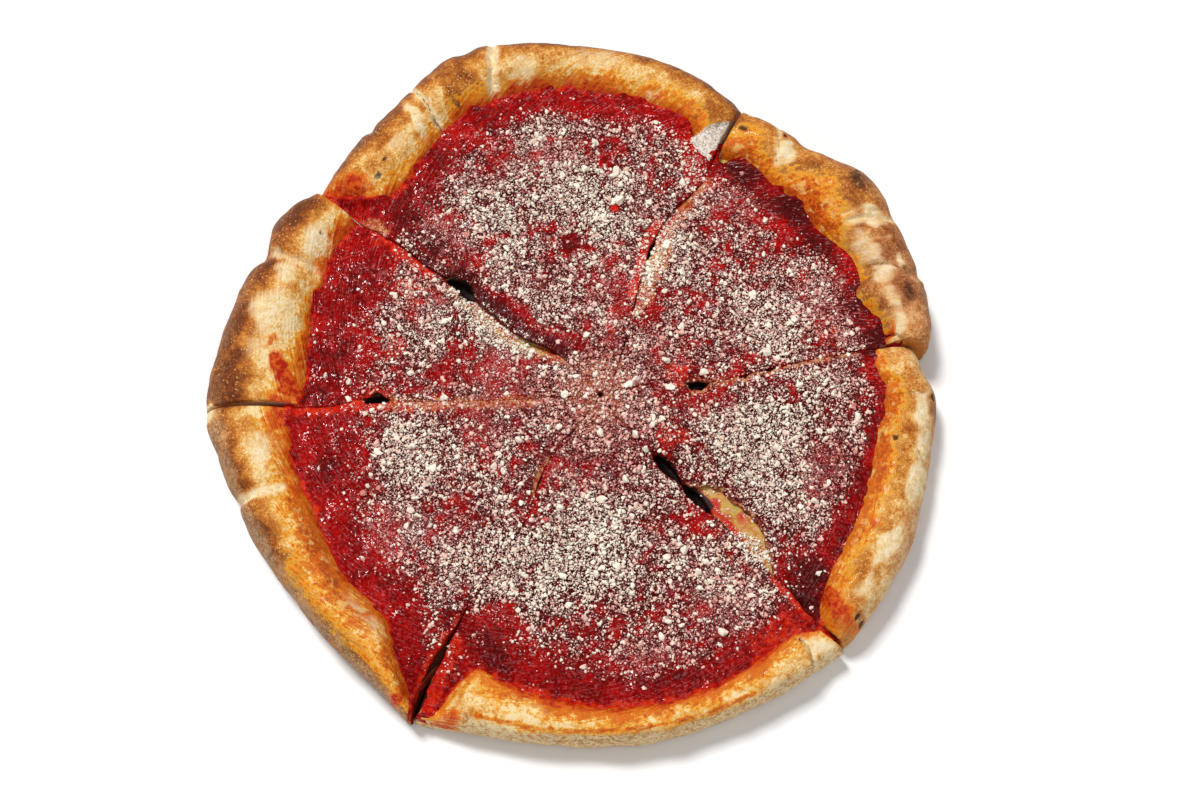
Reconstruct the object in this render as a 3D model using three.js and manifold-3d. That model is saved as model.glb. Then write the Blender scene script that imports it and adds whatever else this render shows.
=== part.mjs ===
// A deep dish pizza cut into six slices that still lie together.
//
// Millimetres, +Z up. The pizza lies on z = 0 with the middle of its outline at x = y = 0. Plan positions are
// worked out in polar form about the point where the cuts meet: an angle in degrees anticlockwise from +X, and a
// distance out from that point. Each slice is three solids: the dough with its raised rim, the melted cheese on it,
// and the tomato sauce with the coarse crumbs of grated cheese that lie on it.

import * as THREE from "three";
import { mergeVertices } from "three/addons/utils/BufferGeometryUtils.js";
import Module from "manifold-3d";

// ---- Driving dimensions ----------------------------------------------------------------------------------------

const CUTS_MEET = { x: 11.72, y: -10.96 }; // from the middle of the outline
const TIP_RADIUS = 2.2; // the slices' points stop short of each other
const RIM_REFERENCE_RADIUS = 140; // where a slice's rim stations are read

const DOUGH_TOP = 6.5; // floor of the dish above the table
const CHEESE_TOP = 13.0;
const SAUCE_LEVEL = 17.0; // top of the sauce above the table
const LAYER_GAP = 0.3; // clearance between one layer and the next
const RIM_FOOT = 6.0; // how far the inner wall runs in below the sauce
const LEAST_CREST = 1.5; // the rim stands at least this far above the sauce
const CHEESE_STANDOFF = 3.0; // from the sauce's outer edge in to where the cheese meets the inner wall
const SAUCE_LIP = 1.5; // how far the sauce rounds down at a cut
const SAUCE_LIP_WIDTH = 5.0;

// Swells of the filling: [height, wavelength, heading in degrees, phase in degrees].
const SWELLS = [
  [0.7, 74, 20, 40],
  [0.5, 61, 100, 200],
];

// Each cut: its heading, then [distance out, drift anticlockwise, gap] along it.
const CUTS = {
  A: {
    heading: 64.5,
    line: [[0, 0, 0.5], [10, -1.5, 1.0], [24, 0.4, 1.0], [53, 6.6, 2.2], [74, 9.4, 2.6], [90, 7.6, 2.0],
      [104, 2.0, 1.6], [120, 2.0, 2.2], [150, 0, 1.0]],
  },
  B: {
    heading: 8.7,
    line: [[0, 0, 0.5], [12, 1.2, 1.0], [26, 2.4, 1.2], [34, 0.6, 2.0], [41, -1.0, 4.2], [49, -1.0, 1.4],
      [76, 1.0, 1.2], [106, 3.0, 1.2], [121, 2.8, 1.4], [136, 0, 1.4]],
  },
  C: {
    heading: -46.9,
    line: [[0, 0, 0.5], [13, -1.4, 1.2], [30, -0.6, 2.2], [40, -0.8, 5.2], [52, -0.9, 4.0], [60, -0.8, 5.0],
      [72, -0.7, 2.6], [99, -1.0, 1.6], [118, -0.4, 3.0], [130, -1.8, 2.4], [143, 0, 2.6]],
  },
  D: {
    heading: 240.7,
    line: [[0, 0, 0.5], [12, -1.0, 0.9], [32, -4.6, 1.2], [44, -3.8, 2.2], [60, -0.4, 1.0], [96, -2.0, 1.2],
      [110, -2.6, 3.6], [128, -3.4, 4.8], [150, 0, 3.2]],
  },
  E: {
    heading: 181.4,
    line: [[0, 0, 0.5], [12, 0.3, 0.9], [56, 0.8, 1.0], [80, 0.6, 1.2], [92, -1.4, 4.0], [102, -0.6, 1.4],
      [112, 1.8, 1.0], [138, 1.4, 1.8], [162, 2.0, 1.0]],
  },
  F: {
    heading: 143.0,
    line: [[0, 0, 0.5], [12, -2.4, 0.9], [29, -4.2, 1.4], [42, -1.4, 2.2], [66, -2.6, 2.0], [76, -4.6, 5.4],
      [88, -2.2, 1.4], [109, -2.6, 1.2], [136, 0, 1.4], [158, 0, 1.2]],
  },
};

// The slices, clockwise from the one at the back. Each runs anticlockwise between two cuts, and its rim is a list of
// [angle, outer radius, width from the sauce's edge, height]. "ledges" are stretches where the sauce stops short of
// the cut and the cheese under it shows: [distance out, width].
const SLICES = [
  {
    number: 1, from: "A", to: "F",
    rim: [[64.5, 146, 24, 19], [68, 149, 23, 23], [74, 153.5, 21, 25], [84, 159, 22, 26], [95, 163.5, 21, 26],
      [105, 168, 24, 27], [112, 170, 27, 28], [117, 165.5, 25, 27], [124, 160.5, 27, 26], [132, 156.5, 29, 26],
      [138, 154.5, 26, 24], [141, 153.5, 16, 17], [143, 152.5, 12, 14]],
    ledgeFrom: [[0, 0]],
    ledgeTo: [[0, 0]],
  },
  {
    number: 2, from: "B", to: "A",
    rim: [[8.7, 138.5, 18, 27], [13, 141.5, 21, 28], [20, 145, 28, 28], [26, 147, 25, 26], [32, 149.5, 27, 27],
      [38, 152, 33, 28], [43, 151.5, 30, 28], [48, 148, 27, 25], [55, 146, 23, 25], [60, 146.5, 22, 24],
      [64.5, 146.5, 23, 21]],
    ledgeFrom: [[0, 0]],
    ledgeTo: [[40, 0], [55, 3.5], [75, 5], [92, 3], [100, 0]],
  },
  {
    number: 3, from: "C", to: "B",
    rim: [[-46.9, 141.5, 17, 14], [-43.5, 142, 21, 22], [-38, 141.5, 24, 24], [-28, 140, 24, 24],
      [-18, 138.5, 24, 24], [-8, 138.5, 23, 24], [-2, 139.5, 22, 23], [1, 139, 21, 23], [5, 134.5, 20, 22],
      [8.7, 133, 17, 20]],
    ledgeFrom: [[53, 0], [60, 8], [70, 10.5], [80, 11], [92, 7.5], [102, 0]],
    ledgeTo: [[0, 0]],
  },
  {
    number: 4, from: "D", to: "C",
    rim: [[240.7, 151, 8, 12], [243.5, 149.5, 11, 15], [247, 147.5, 25, 21], [252, 144.5, 21, 22],
      [260, 142, 17, 22], [270, 141.5, 14, 22], [280, 141, 13, 22], [290, 140.5, 13, 22], [300, 140.5, 15, 22],
      [307, 141.5, 17, 21], [310, 142, 18, 16], [313.1, 143.5, 15, 13]],
    ledgeFrom: [[0, 0]],
    ledgeTo: [[0, 0]],
  },
  {
    number: 5, from: "E", to: "D",
    rim: [[181.4, 162.5, 37, 22], [184, 163, 36, 24], [189, 159, 31, 26], [196, 155, 27, 26], [204, 151.5, 26, 27],
      [212, 149.5, 23, 26], [220, 148.5, 22, 26], [228, 148.5, 23, 25], [235, 150, 15, 23], [238.5, 152, 9, 19],
      [240.7, 153.5, 7, 16]],
    ledgeFrom: [[0, 0]],
    ledgeTo: [[0, 0]],
  },
  {
    number: 6, from: "F", to: "E",
    rim: [[143, 153, 24, 24], [147, 157, 27, 26], [152, 158.5, 30, 27], [156, 155.5, 28, 26], [160, 158, 31, 27],
      [168, 160, 36, 28], [175, 162.5, 40, 27], [181.4, 163, 41, 24]],
    ledgeFrom: [[24, 0], [36, 3.5], [66, 3.5], [80, 0]],
    ledgeTo: [[0, 0]],
  },
];

// Where a slice has slumped beside a cut near the rim: [slice, cut, distance out, width, depth].
const SLUMPS = [
  [4, "D", 112, 15, 6.0],
  [5, "D", 122, 10, 4.0],
  [1, "F", 118, 12, 5.0],
  [6, "F", 20, 14, 1.6],
  [3, "C", 108, 13, 5.0],
];
const SLUMP_RUN = 14; // over how much of the distance out a slump sets in
const CHEESE_SLUMP = 1.8; // the cheese gives way this much more than the sauce on it

// Folds and cracks across the rim: [slice, angle, half width in degrees, depth].
const FOLDS = [
  [1, 111.0, 1.6, 1.6],
  [1, 129.5, 0.9, 2.2],
  [2, 52.0, 1.8, 1.8],
  [2, 33.0, 1.8, 1.6],
  [2, 21.5, 1.2, 2.0],
  [3, -8.5, 1.0, 1.0],
  [5, 196.5, 1.3, 2.0],
  [5, 214.0, 1.4, 1.4],
  [6, 157.0, 1.4, 1.8],
];

// The rim's section. Outside, from under the rim up to the crest: [share of the width, share of the height].
const RIM_OUTSIDE = [[0.84, 0], [0.93, 0.05], [0.985, 0.2], [1, 0.42], [0.97, 0.64], [0.88, 0.83], [0.73, 0.955]];
// Crest and inside, down to the sauce: [share of the width, share of the height above the sauce].
const RIM_INSIDE = [[0.54, 1], [0.33, 0.9], [0.15, 0.58], [0, 0.08]];

// How far out the rows lie, the same on both sides of a cut, and how many degrees apart the columns are.
const DOUGH_ROWS = [TIP_RADIUS, 20, 40, 60, 80, 98];
const DOUGH_PITCH = 4.2;
const FOLD_COLUMNS = [-1.4, 0, 1.4]; // where a fold's columns lie, in its half widths
const LEAST_COLUMN = 0.018; // share of the way across below which an even column gives way to a fold's
const FILLING_ROWS = [TIP_RADIUS, 12, 26, 40, 54, 68, 82, 98];
const SAUCE_PITCH = 10;
const CHEESE_PITCH = 18;
const EDGE_COLUMN = 0.04; // share of the way across at which a filling has its first column inside a cut

// Coarse crumbs of grated cheese, on a sunflower spiral so that they spread evenly over the sauce.
const CRUMB_SPIRAL = 120;
const CRUMB_REACH = 122;
const CRUMB_MARGIN = 6; // from a cut's edge, and from the sauce's outer edge
const CRUMB_SIZE = [1.5, 2.3]; // radius, least and most
const CRUMB_PROPORTIONS = [1.1, 0.95, 0.8];
const CRUMB_SUNK = 0.3; // share of the radius that lies under the sauce
const CRUMB_JITTER = 3;
const CRUMB_SEED = 7919;
const CRUMB_SEED_STEP = 131;
const GOLDEN_ANGLE = 180 * (3 - Math.sqrt(5));
const WELD_DISTANCE = 1e-3; // corners nearer than this are one corner

const MATERIALS = {
  crust: { color: 0xd9a566, roughness: 0.72, metalness: 0 },
  cheese: { color: 0xe6cf95, roughness: 0.5, metalness: 0 },
  sauce: { color: 0x9c1410, roughness: 0.28, metalness: 0 },
};

// ---- Small maths -----------------------------------------------------------------------------------------------

const toRadians = THREE.MathUtils.degToRad;
const toDegrees = THREE.MathUtils.radToDeg;
const { lerp, smoothstep } = THREE.MathUtils;

// A smooth curve through the stations, which are rows of [position, value, value, ...].
function along(stations, position, column = 1) {
  const last = stations.length - 1;
  if (position <= stations[0][0]) return stations[0][column];
  if (position >= stations[last][0]) return stations[last][column];
  let i = 0;
  while (stations[i + 1][0] < position) i++;
  const slope = (k) => {
    const before = stations[Math.max(k - 1, 0)];
    const after = stations[Math.min(k + 1, last)];
    return (after[column] - before[column]) / (after[0] - before[0]);
  };
  const span = stations[i + 1][0] - stations[i][0];
  const t = (position - stations[i][0]) / span;
  const [from, to] = [stations[i][column], stations[i + 1][column]];
  const start = from * (2 * t ** 3 - 3 * t ** 2 + 1) + slope(i) * span * (t ** 3 - 2 * t ** 2 + t);
  const end = to * (3 * t ** 2 - 2 * t ** 3) + slope(i + 1) * span * (t ** 3 - t ** 2);
  return start + end;
}

// The Park-Miller generator: the same draws on every run.
function makeDraw(seed) {
  const [multiplier, modulus] = [16807, 2147483647];
  let state = seed;
  return () => {
    state = (state * multiplier) % modulus;
    return state / modulus;
  };
}

// ---- Plan of a slice -------------------------------------------------------------------------------------------

// The angle of a cut's edge at a distance out. side is +1 for the slice anticlockwise of the cut, -1 for the other.
function edgeAngle(cutName, distance, side) {
  const cut = CUTS[cutName];
  const offset = along(cut.line, distance, 1) + (side * along(cut.line, distance, 2)) / 2;
  return cut.heading + toDegrees(offset / distance);
}

// The angles of a slice's two edges at a distance out, with the cut it runs to counted past the one it runs from.
function edges(slice, distance) {
  const start = edgeAngle(slice.from, distance, 1);
  const end = edgeAngle(slice.to, distance, -1);
  return [start, end < start ? end + 360 : end];
}

// The angle at a share of the way across a slice, optionally with its edges drawn in by widths in millimetres.
function sliceAngle(slice, share, distance, insetFrom = 0, insetTo = 0) {
  const [start, end] = edges(slice, distance);
  return lerp(start + toDegrees(insetFrom / distance), end - toDegrees(insetTo / distance), share);
}

function planPoint(angle, distance) {
  const a = toRadians(angle);
  return [CUTS_MEET.x + distance * Math.cos(a), CUTS_MEET.y + distance * Math.sin(a)];
}

// Outer radius, width and height of the rim at a share of the way across a slice.
function rimAt(slice, share) {
  const angle = sliceAngle(slice, share, RIM_REFERENCE_RADIUS);
  const fold = FOLDS.filter((f) => f[0] === slice.number).reduce(
    (sum, [, at, halfWidth, depth]) => sum + depth * Math.exp(-(((angle - at) / halfWidth) ** 2)), 0);
  return {
    outer: along(slice.rim, angle, 1) - fold / 2,
    width: along(slice.rim, angle, 2),
    height: along(slice.rim, angle, 3) - fold,
  };
}

// ---- Heights of the filling ------------------------------------------------------------------------------------

function swell(x, y) {
  return SWELLS.reduce((sum, [height, wavelength, heading, phase]) => {
    const run = x * Math.cos(toRadians(heading)) + y * Math.sin(toRadians(heading));
    return sum + height * Math.sin((2 * Math.PI * run) / wavelength + toRadians(phase));
  }, 0);
}

// How far a point lies from the slice's edges, along the arc.
function edgeDistances(slice, angle, distance) {
  const [start, end] = edges(slice, distance);
  return { from: toRadians(angle - start) * distance, to: toRadians(end - angle) * distance };
}

function slump(slice, angle, distance) {
  const away = edgeDistances(slice, angle, distance);
  return SLUMPS.filter((s) => s[0] === slice.number).reduce((sum, [, cut, start, width, depth]) => {
    const across = cut === slice.from ? away.from : away.to;
    const beside = 1 - smoothstep(across, 0, width);
    return sum + depth * beside * smoothstep(distance, start, start + SLUMP_RUN);
  }, 0);
}

// The sauce's level before it rounds down at a cut.
function sauceLevel(slice, angle, distance) {
  return SAUCE_LEVEL + swell(...planPoint(angle, distance)) - slump(slice, angle, distance);
}

function sauceTop(slice, angle, distance) {
  const away = edgeDistances(slice, angle, distance);
  const lip = 1 - smoothstep(Math.min(away.from, away.to), 0, SAUCE_LIP_WIDTH);
  return sauceLevel(slice, angle, distance) - SAUCE_LIP * lip;
}

// ---- Meshes ----------------------------------------------------------------------------------------------------

function geometryOf(points, triangles) {
  return new THREE.BufferGeometry()
    .setAttribute("position", new THREE.Float32BufferAttribute(points.flat(), 3))
    .setIndex(triangles.flat());
}

// Closed loops of points, all of one length, joined one to the next and capped at both ends. capOf gives the
// triangles of a loop's cap.
function loft(loops, capOf) {
  const around = loops[0].length;
  const triangles = [];
  for (let i = 0; i + 1 < loops.length; i++) {
    for (let j = 0; j < around; j++) {
      const [a, b] = [i * around + j, i * around + ((j + 1) % around)];
      triangles.push([a, b + around, b], [a, a + around, b + around]);
    }
  }
  const cap = (i) => capOf(i).map((t) => t.map((k) => k + i * around));
  const turned = (t) => [t[2], t[1], t[0]];
  triangles.push(...cap(0), ...cap(loops.length - 1).map(turned));
  return geometryOf(loops.flat(), triangles);
}

// A slab between an upper and a lower sheet of points, each rows by columns, closed round its edge.
function slab(upper, lower) {
  const [rows, columns] = [upper.length, upper[0].length];
  const under = rows * columns;
  const at = (i, j) => i * columns + j;
  const triangles = [];
  for (let i = 0; i + 1 < rows; i++) {
    for (let j = 0; j + 1 < columns; j++) {
      const [a, b, c, d] = [at(i, j), at(i + 1, j), at(i + 1, j + 1), at(i, j + 1)];
      triangles.push([a, b, c], [a, c, d]);
      triangles.push([a + under, c + under, b + under], [a + under, d + under, c + under]);
    }
  }
  const rim = [];
  for (let i = 0; i + 1 < rows; i++) rim.push(at(i, 0));
  for (let j = 0; j + 1 < columns; j++) rim.push(at(rows - 1, j));
  for (let i = rows - 1; i > 0; i--) rim.push(at(i, columns - 1));
  for (let j = columns - 1; j > 0; j--) rim.push(at(0, j));
  rim.forEach((a, k) => {
    const b = rim[(k + 1) % rim.length];
    triangles.push([a, a + under, b + under], [a, b + under, b]);
  });
  return geometryOf([...upper.flat(), ...lower.flat()], triangles);
}

// ---- Dough and rim ---------------------------------------------------------------------------------------------

// The dough's section at a share of the way across a slice, as [distance out, height] round its outline. Clearance
// swells its upper side, for a dough that cuts the fillings free of the real one.
function doughSection(slice, share, clearance) {
  const { outer, width, height } = rimAt(slice, share);
  const inner = outer - width - clearance;
  const contact = sauceLevel(slice, sliceAngle(slice, share, inner), inner);
  const crest = Math.max(height, contact + LEAST_CREST);
  const floorEnd = inner - RIM_FOOT;
  return [
    ...DOUGH_ROWS.map((r) => [r, 0]),
    ...RIM_OUTSIDE.map(([across, up]) => [inner + across * width, up * crest]),
    ...RIM_INSIDE.map(([across, up]) => [inner + across * width, lerp(contact, crest, up)]),
    [floorEnd, DOUGH_TOP + clearance],
    ...DOUGH_ROWS.toReversed().map((r) => [r, DOUGH_TOP + clearance]),
  ];
}

// Even shares of the way across a slice, about so many degrees apart, from 0 to 1.
function evenColumns(slice, pitch) {
  const [start, end] = edges(slice, RIM_REFERENCE_RADIUS);
  const count = Math.round((end - start) / pitch);
  return Array.from({ length: count + 1 }, (_, i) => i / count);
}

// The rim's columns: even ones, but on each fold one in its middle and one on either side.
function doughColumns(slice) {
  const [start, end] = edges(slice, RIM_REFERENCE_RADIUS);
  const folds = FOLDS.filter((f) => f[0] === slice.number).flatMap(([, at, halfWidth]) =>
    FOLD_COLUMNS.map((k) => (at + k * halfWidth - start) / (end - start)));
  const clear = evenColumns(slice, DOUGH_PITCH).filter((even) =>
    even === 0 || even === 1 || folds.every((fold) => Math.abs(fold - even) > LEAST_COLUMN));
  return [...clear, ...folds].sort((a, b) => a - b);
}

// The cap of a dough section: strips from row to row, so that it follows a cut that bends, and then the rim.
function doughCap(section) {
  const rows = DOUGH_ROWS.length;
  const count = section.length;
  const strips = DOUGH_ROWS.slice(1).flatMap((_, i) => {
    const above = count - 1 - i;
    return [[i, i + 1, above - 1], [i, above - 1, above]];
  });
  const rim = section.slice(rows - 1, count - rows + 1).map(([r, z]) => new THREE.Vector2(r, z));
  const rimTriangles = THREE.ShapeUtils.triangulateShape(rim, []).map((t) => t.map((k) => k + rows - 1));
  return [...strips, ...rimTriangles];
}

function makeDough(slice, clearance = 0) {
  const columns = doughColumns(slice);
  const sections = columns.map((share) => doughSection(slice, share, clearance));
  const loops = sections.map((section, i) =>
    section.map(([r, z]) => [...planPoint(sliceAngle(slice, columns[i], r, -clearance, -clearance), r), z]));
  return loft(loops, (i) => doughCap(sections[i]));
}

// ---- Cheese and sauce ------------------------------------------------------------------------------------------

// Rows and columns of [angle, distance] over a slice's filling.
function fillingGrid(slice, pitch, standoff, ledges) {
  const even = evenColumns(slice, pitch);
  const columns = [0, EDGE_COLUMN, ...even.slice(1, -1), 1 - EDGE_COLUMN, 1];
  const at = (share, distance) => {
    const insets = ledges ? [along(slice.ledgeFrom, distance), along(slice.ledgeTo, distance)] : [0, 0];
    return [sliceAngle(slice, share, distance, ...insets), distance];
  };
  const reach = columns.map((share) => {
    const { outer, width } = rimAt(slice, share);
    return outer - width - standoff;
  });
  const last = FILLING_ROWS[FILLING_ROWS.length - 1];
  return [
    ...FILLING_ROWS.map((distance) => columns.map((share) => at(share, distance))),
    columns.map((share, j) => at(share, (last + reach[j]) / 2)),
    columns.map((share, j) => at(share, reach[j])),
  ];
}

const sheet = (grid, height) =>
  grid.map((row) => row.map(([angle, distance]) => [...planPoint(angle, distance), height(angle, distance)]));

function makeCheeseLayer(slice) {
  const grid = fillingGrid(slice, CHEESE_PITCH, CHEESE_STANDOFF, false);
  const top = (angle, distance) => CHEESE_TOP - CHEESE_SLUMP * slump(slice, angle, distance);
  return slab(sheet(grid, top), sheet(grid, () => DOUGH_TOP + 2 * LAYER_GAP));
}

function makeSauceLayer(slice) {
  const grid = fillingGrid(slice, SAUCE_PITCH, 0, true);
  const bottom = (angle, distance) => CHEESE_TOP + LAYER_GAP - slump(slice, angle, distance);
  return slab(sheet(grid, (angle, distance) => sauceTop(slice, angle, distance)), sheet(grid, bottom));
}

// The places of a slice's coarse crumbs: each a point on the spiral that falls on its sauce.
function crumbPlaces(slice) {
  const places = [];
  for (let i = 0; i < CRUMB_SPIRAL; i++) {
    const draw = makeDraw(CRUMB_SEED + CRUMB_SEED_STEP * i);
    const distance = CRUMB_REACH * Math.sqrt((i + 0.5) / CRUMB_SPIRAL) + CRUMB_JITTER * (draw() - 0.5);
    const spiral = ((i * GOLDEN_ANGLE) % 360) + toDegrees((CRUMB_JITTER * (draw() - 0.5)) / distance);
    const [start, end] = edges(slice, distance);
    const angle = [spiral - 360, spiral, spiral + 360].find((a) => a > start && a < end);
    if (angle === undefined) continue;
    const away = edgeDistances(slice, angle, distance);
    const clearFrom = away.from - along(slice.ledgeFrom, distance);
    const clearTo = away.to - along(slice.ledgeTo, distance);
    const { outer, width } = rimAt(slice, (angle - start) / (end - start));
    const clearOut = outer - width - distance;
    if (Math.min(clearFrom, clearTo, clearOut) < CRUMB_MARGIN || slump(slice, angle, distance) > 0) continue;
    const radius = lerp(...CRUMB_SIZE, draw());
    places.push({ angle, distance, radius, turn: 360 * draw(), tip: 180 * draw() });
  }
  return places;
}

function makeCrumb(slice, { angle, distance, radius, turn, tip }) {
  const [x, y] = planPoint(angle, distance);
  const z = sauceTop(slice, angle, distance) + radius * (CRUMB_PROPORTIONS[2] - CRUMB_SUNK);
  return new THREE.IcosahedronGeometry(radius, 0)
    .scale(...CRUMB_PROPORTIONS)
    .rotateX(toRadians(tip))
    .rotateZ(toRadians(turn))
    .translate(x, y, z);
}

// ---- Joining ---------------------------------------------------------------------------------------------------

const wasm = await Module();
wasm.setup();

function solidOf(geometry) {
  const bare = geometry.clone();
  bare.deleteAttribute("normal");
  bare.deleteAttribute("uv");
  const merged = mergeVertices(bare, WELD_DISTANCE);
  return new wasm.Manifold(new wasm.Mesh({
    numProp: 3,
    vertProperties: merged.attributes.position.array,
    triVerts: new Uint32Array(merged.index.array),
  }));
}

function largestOf(solid) {
  return solid.decompose().reduce((largest, piece) => (piece.volume() > largest.volume() ? piece : largest));
}

function geometryOfSolid(solid) {
  const { vertProperties, triVerts } = solid.getMesh();
  return new THREE.BufferGeometry()
    .setAttribute("position", new THREE.BufferAttribute(vertProperties, 3))
    .setIndex(new THREE.BufferAttribute(triVerts, 1));
}

// A filling layer with its outer edge cut to the dough's inner wall, without the slivers that the cut leaves.
function fitToDough(slice, layer) {
  return largestOf(solidOf(layer).subtract(solidOf(makeDough(slice, LAYER_GAP))));
}

function makeCheese(slice) {
  return geometryOfSolid(fitToDough(slice, makeCheeseLayer(slice)));
}

function makeSauce(slice) {
  const layer = fitToDough(slice, makeSauceLayer(slice));
  const joined = crumbPlaces(slice).reduce((sum, crumb) => sum.add(solidOf(makeCrumb(slice, crumb))), layer);
  return geometryOfSolid(joined);
}

// ---- The pizza -------------------------------------------------------------------------------------------------

function addNode(group, name, geometry, finish) {
  const mesh = new THREE.Mesh(geometry, new THREE.MeshStandardMaterial(finish));
  mesh.name = name;
  group.add(mesh);
}

const pizza = new THREE.Group();
for (const slice of SLICES) {
  addNode(pizza, `crust_${slice.number}`, makeDough(slice), MATERIALS.crust);
  addNode(pizza, `cheese_${slice.number}`, makeCheese(slice), MATERIALS.cheese);
  addNode(pizza, `sauce_${slice.number}`, makeSauce(slice), MATERIALS.sauce);
}

export default pizza;
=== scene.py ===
"""A deep dish pizza in six slices: baked crust, melted cheese, tomato sauce and grated hard cheese.

Each slice's three solids are replaced by finer pieces of the same form. Plan data are in millimetres
and degrees, in polar form about the point where the cuts meet, as the solids were worked out; meshes
are written in metres.
"""
import itertools
import math

import bmesh
import bpy
import numpy as np
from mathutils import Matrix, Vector
from mathutils.bvhtree import BVHTree


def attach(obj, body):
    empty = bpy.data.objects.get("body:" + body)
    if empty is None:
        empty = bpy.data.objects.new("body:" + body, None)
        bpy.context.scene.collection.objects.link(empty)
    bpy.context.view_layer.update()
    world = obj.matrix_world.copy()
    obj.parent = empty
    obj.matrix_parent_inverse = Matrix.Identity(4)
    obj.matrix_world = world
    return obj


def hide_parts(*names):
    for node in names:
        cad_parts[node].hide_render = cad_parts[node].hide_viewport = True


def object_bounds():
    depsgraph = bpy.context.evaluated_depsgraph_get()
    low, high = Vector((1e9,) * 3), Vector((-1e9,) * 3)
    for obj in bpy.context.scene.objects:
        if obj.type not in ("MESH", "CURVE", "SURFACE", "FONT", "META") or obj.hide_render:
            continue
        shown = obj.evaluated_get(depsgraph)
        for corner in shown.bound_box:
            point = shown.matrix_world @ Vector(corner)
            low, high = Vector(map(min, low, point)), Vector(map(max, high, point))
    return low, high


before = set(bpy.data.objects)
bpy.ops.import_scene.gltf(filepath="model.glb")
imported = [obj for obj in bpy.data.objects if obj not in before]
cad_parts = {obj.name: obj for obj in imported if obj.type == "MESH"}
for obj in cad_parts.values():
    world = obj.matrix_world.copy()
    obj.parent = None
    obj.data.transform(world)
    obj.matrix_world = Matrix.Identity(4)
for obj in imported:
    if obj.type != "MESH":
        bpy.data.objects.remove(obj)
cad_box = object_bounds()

MM = 0.001
ROOT = "root"
SEED = 20261

# ---- The pizza's plan, as its solids have it -----------------------------------------------------

CUTS_MEET = np.array([11.72, -10.96])
TIP_RADIUS = 1.3
RIM_REFERENCE_RADIUS = 140.0
DOUGH_TOP = 6.5
CHEESE_TOP = 13.0
SAUCE_LEVEL = 17.0
RIM_FOOT = 6.0
LEAST_CREST = 1.5  # how far the rim's crest stands over the sauce at least
FOOT_HEIGHT = 0.02
SAUCE_LIP = 1.5
SAUCE_LIP_WIDTH = 5.0
CLOSED = 2.2  # sauce and cheese have run together over a cut by this much
LEAST_GAP = 0.15
WIDE_GAP = (2.4, 3.8)  # between these widths a cut begins to stay open
# Where they have run together by more: [distance out, by how much].
SEALED = {"A": [[62, 0], [70, -1.6], [78, 0]],
          "B": [[54, 0], [60, -2.6], [65, -0.8], [71, -2.3], [78, 0]],
          "C": [[44, 0], [49, 2.4], [53, 0], [58, 0], [66, 2.0], [74, 1.2], [84, 0]],
          "D": [[31, 0], [42, -1.3], [51, 0], [96, 0], [106, 1.8], [116, 2.2], [128, 1.2], [150, 0.6]]}
SWELLS = [[0.7, 74, 20, 40], [0.5, 61, 100, 200]]  # height, wavelength, heading, phase

# Each cut: heading, then [distance out, drift anticlockwise, gap].
CUTS = {
    "A": (64.5, [[0, 0, 0.5], [10, -1.5, 1.0], [24, 0.4, 1.0], [53, 6.6, 2.2], [74, 9.4, 2.6], [90, 7.6, 2.0],
                 [104, 2.0, 1.6], [120, 2.0, 2.2], [150, 0, 1.0]]),
    "B": (8.7, [[0, 0, 0.5], [12, 1.2, 1.0], [26, 2.4, 1.2], [34, 0.6, 2.0], [41, -1.0, 4.2], [49, -1.0, 1.4],
                [76, 1.0, 1.2], [106, 3.0, 1.2], [121, 2.8, 1.4], [136, 0, 1.4]]),
    "C": (-46.9, [[0, 0, 0.5], [13, -1.4, 1.2], [30, -0.6, 2.2], [40, -0.8, 5.2], [52, -0.9, 4.0],
                  [60, -0.8, 5.0], [72, -0.7, 2.6], [99, -1.0, 1.6], [118, -0.4, 3.0], [130, -1.8, 2.4],
                  [143, 0, 2.6]]),
    "D": (240.7, [[0, 0, 0.5], [12, -1.0, 0.9], [32, -4.6, 1.2], [44, -3.8, 2.2], [60, -0.4, 1.0],
                  [96, -2.0, 1.2], [110, -2.6, 3.6], [128, -3.4, 4.8], [150, 0, 3.2]]),
    "E": (181.4, [[0, 0, 0.5], [12, 0.3, 0.9], [56, 0.8, 1.0], [80, 0.6, 1.2], [92, -1.4, 4.0],
                  [102, -0.6, 1.4], [112, 1.8, 1.0], [138, 1.4, 1.8], [162, 2.0, 1.0]]),
    "F": (143.0, [[0, 0, 0.5], [12, -2.4, 0.9], [29, -4.2, 1.4], [42, -1.4, 2.2], [66, -2.6, 2.0],
                  [76, -4.6, 5.4], [88, -2.2, 1.4], [109, -2.6, 1.2], [136, 0, 1.4], [158, 0, 1.2]]),
}

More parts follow.
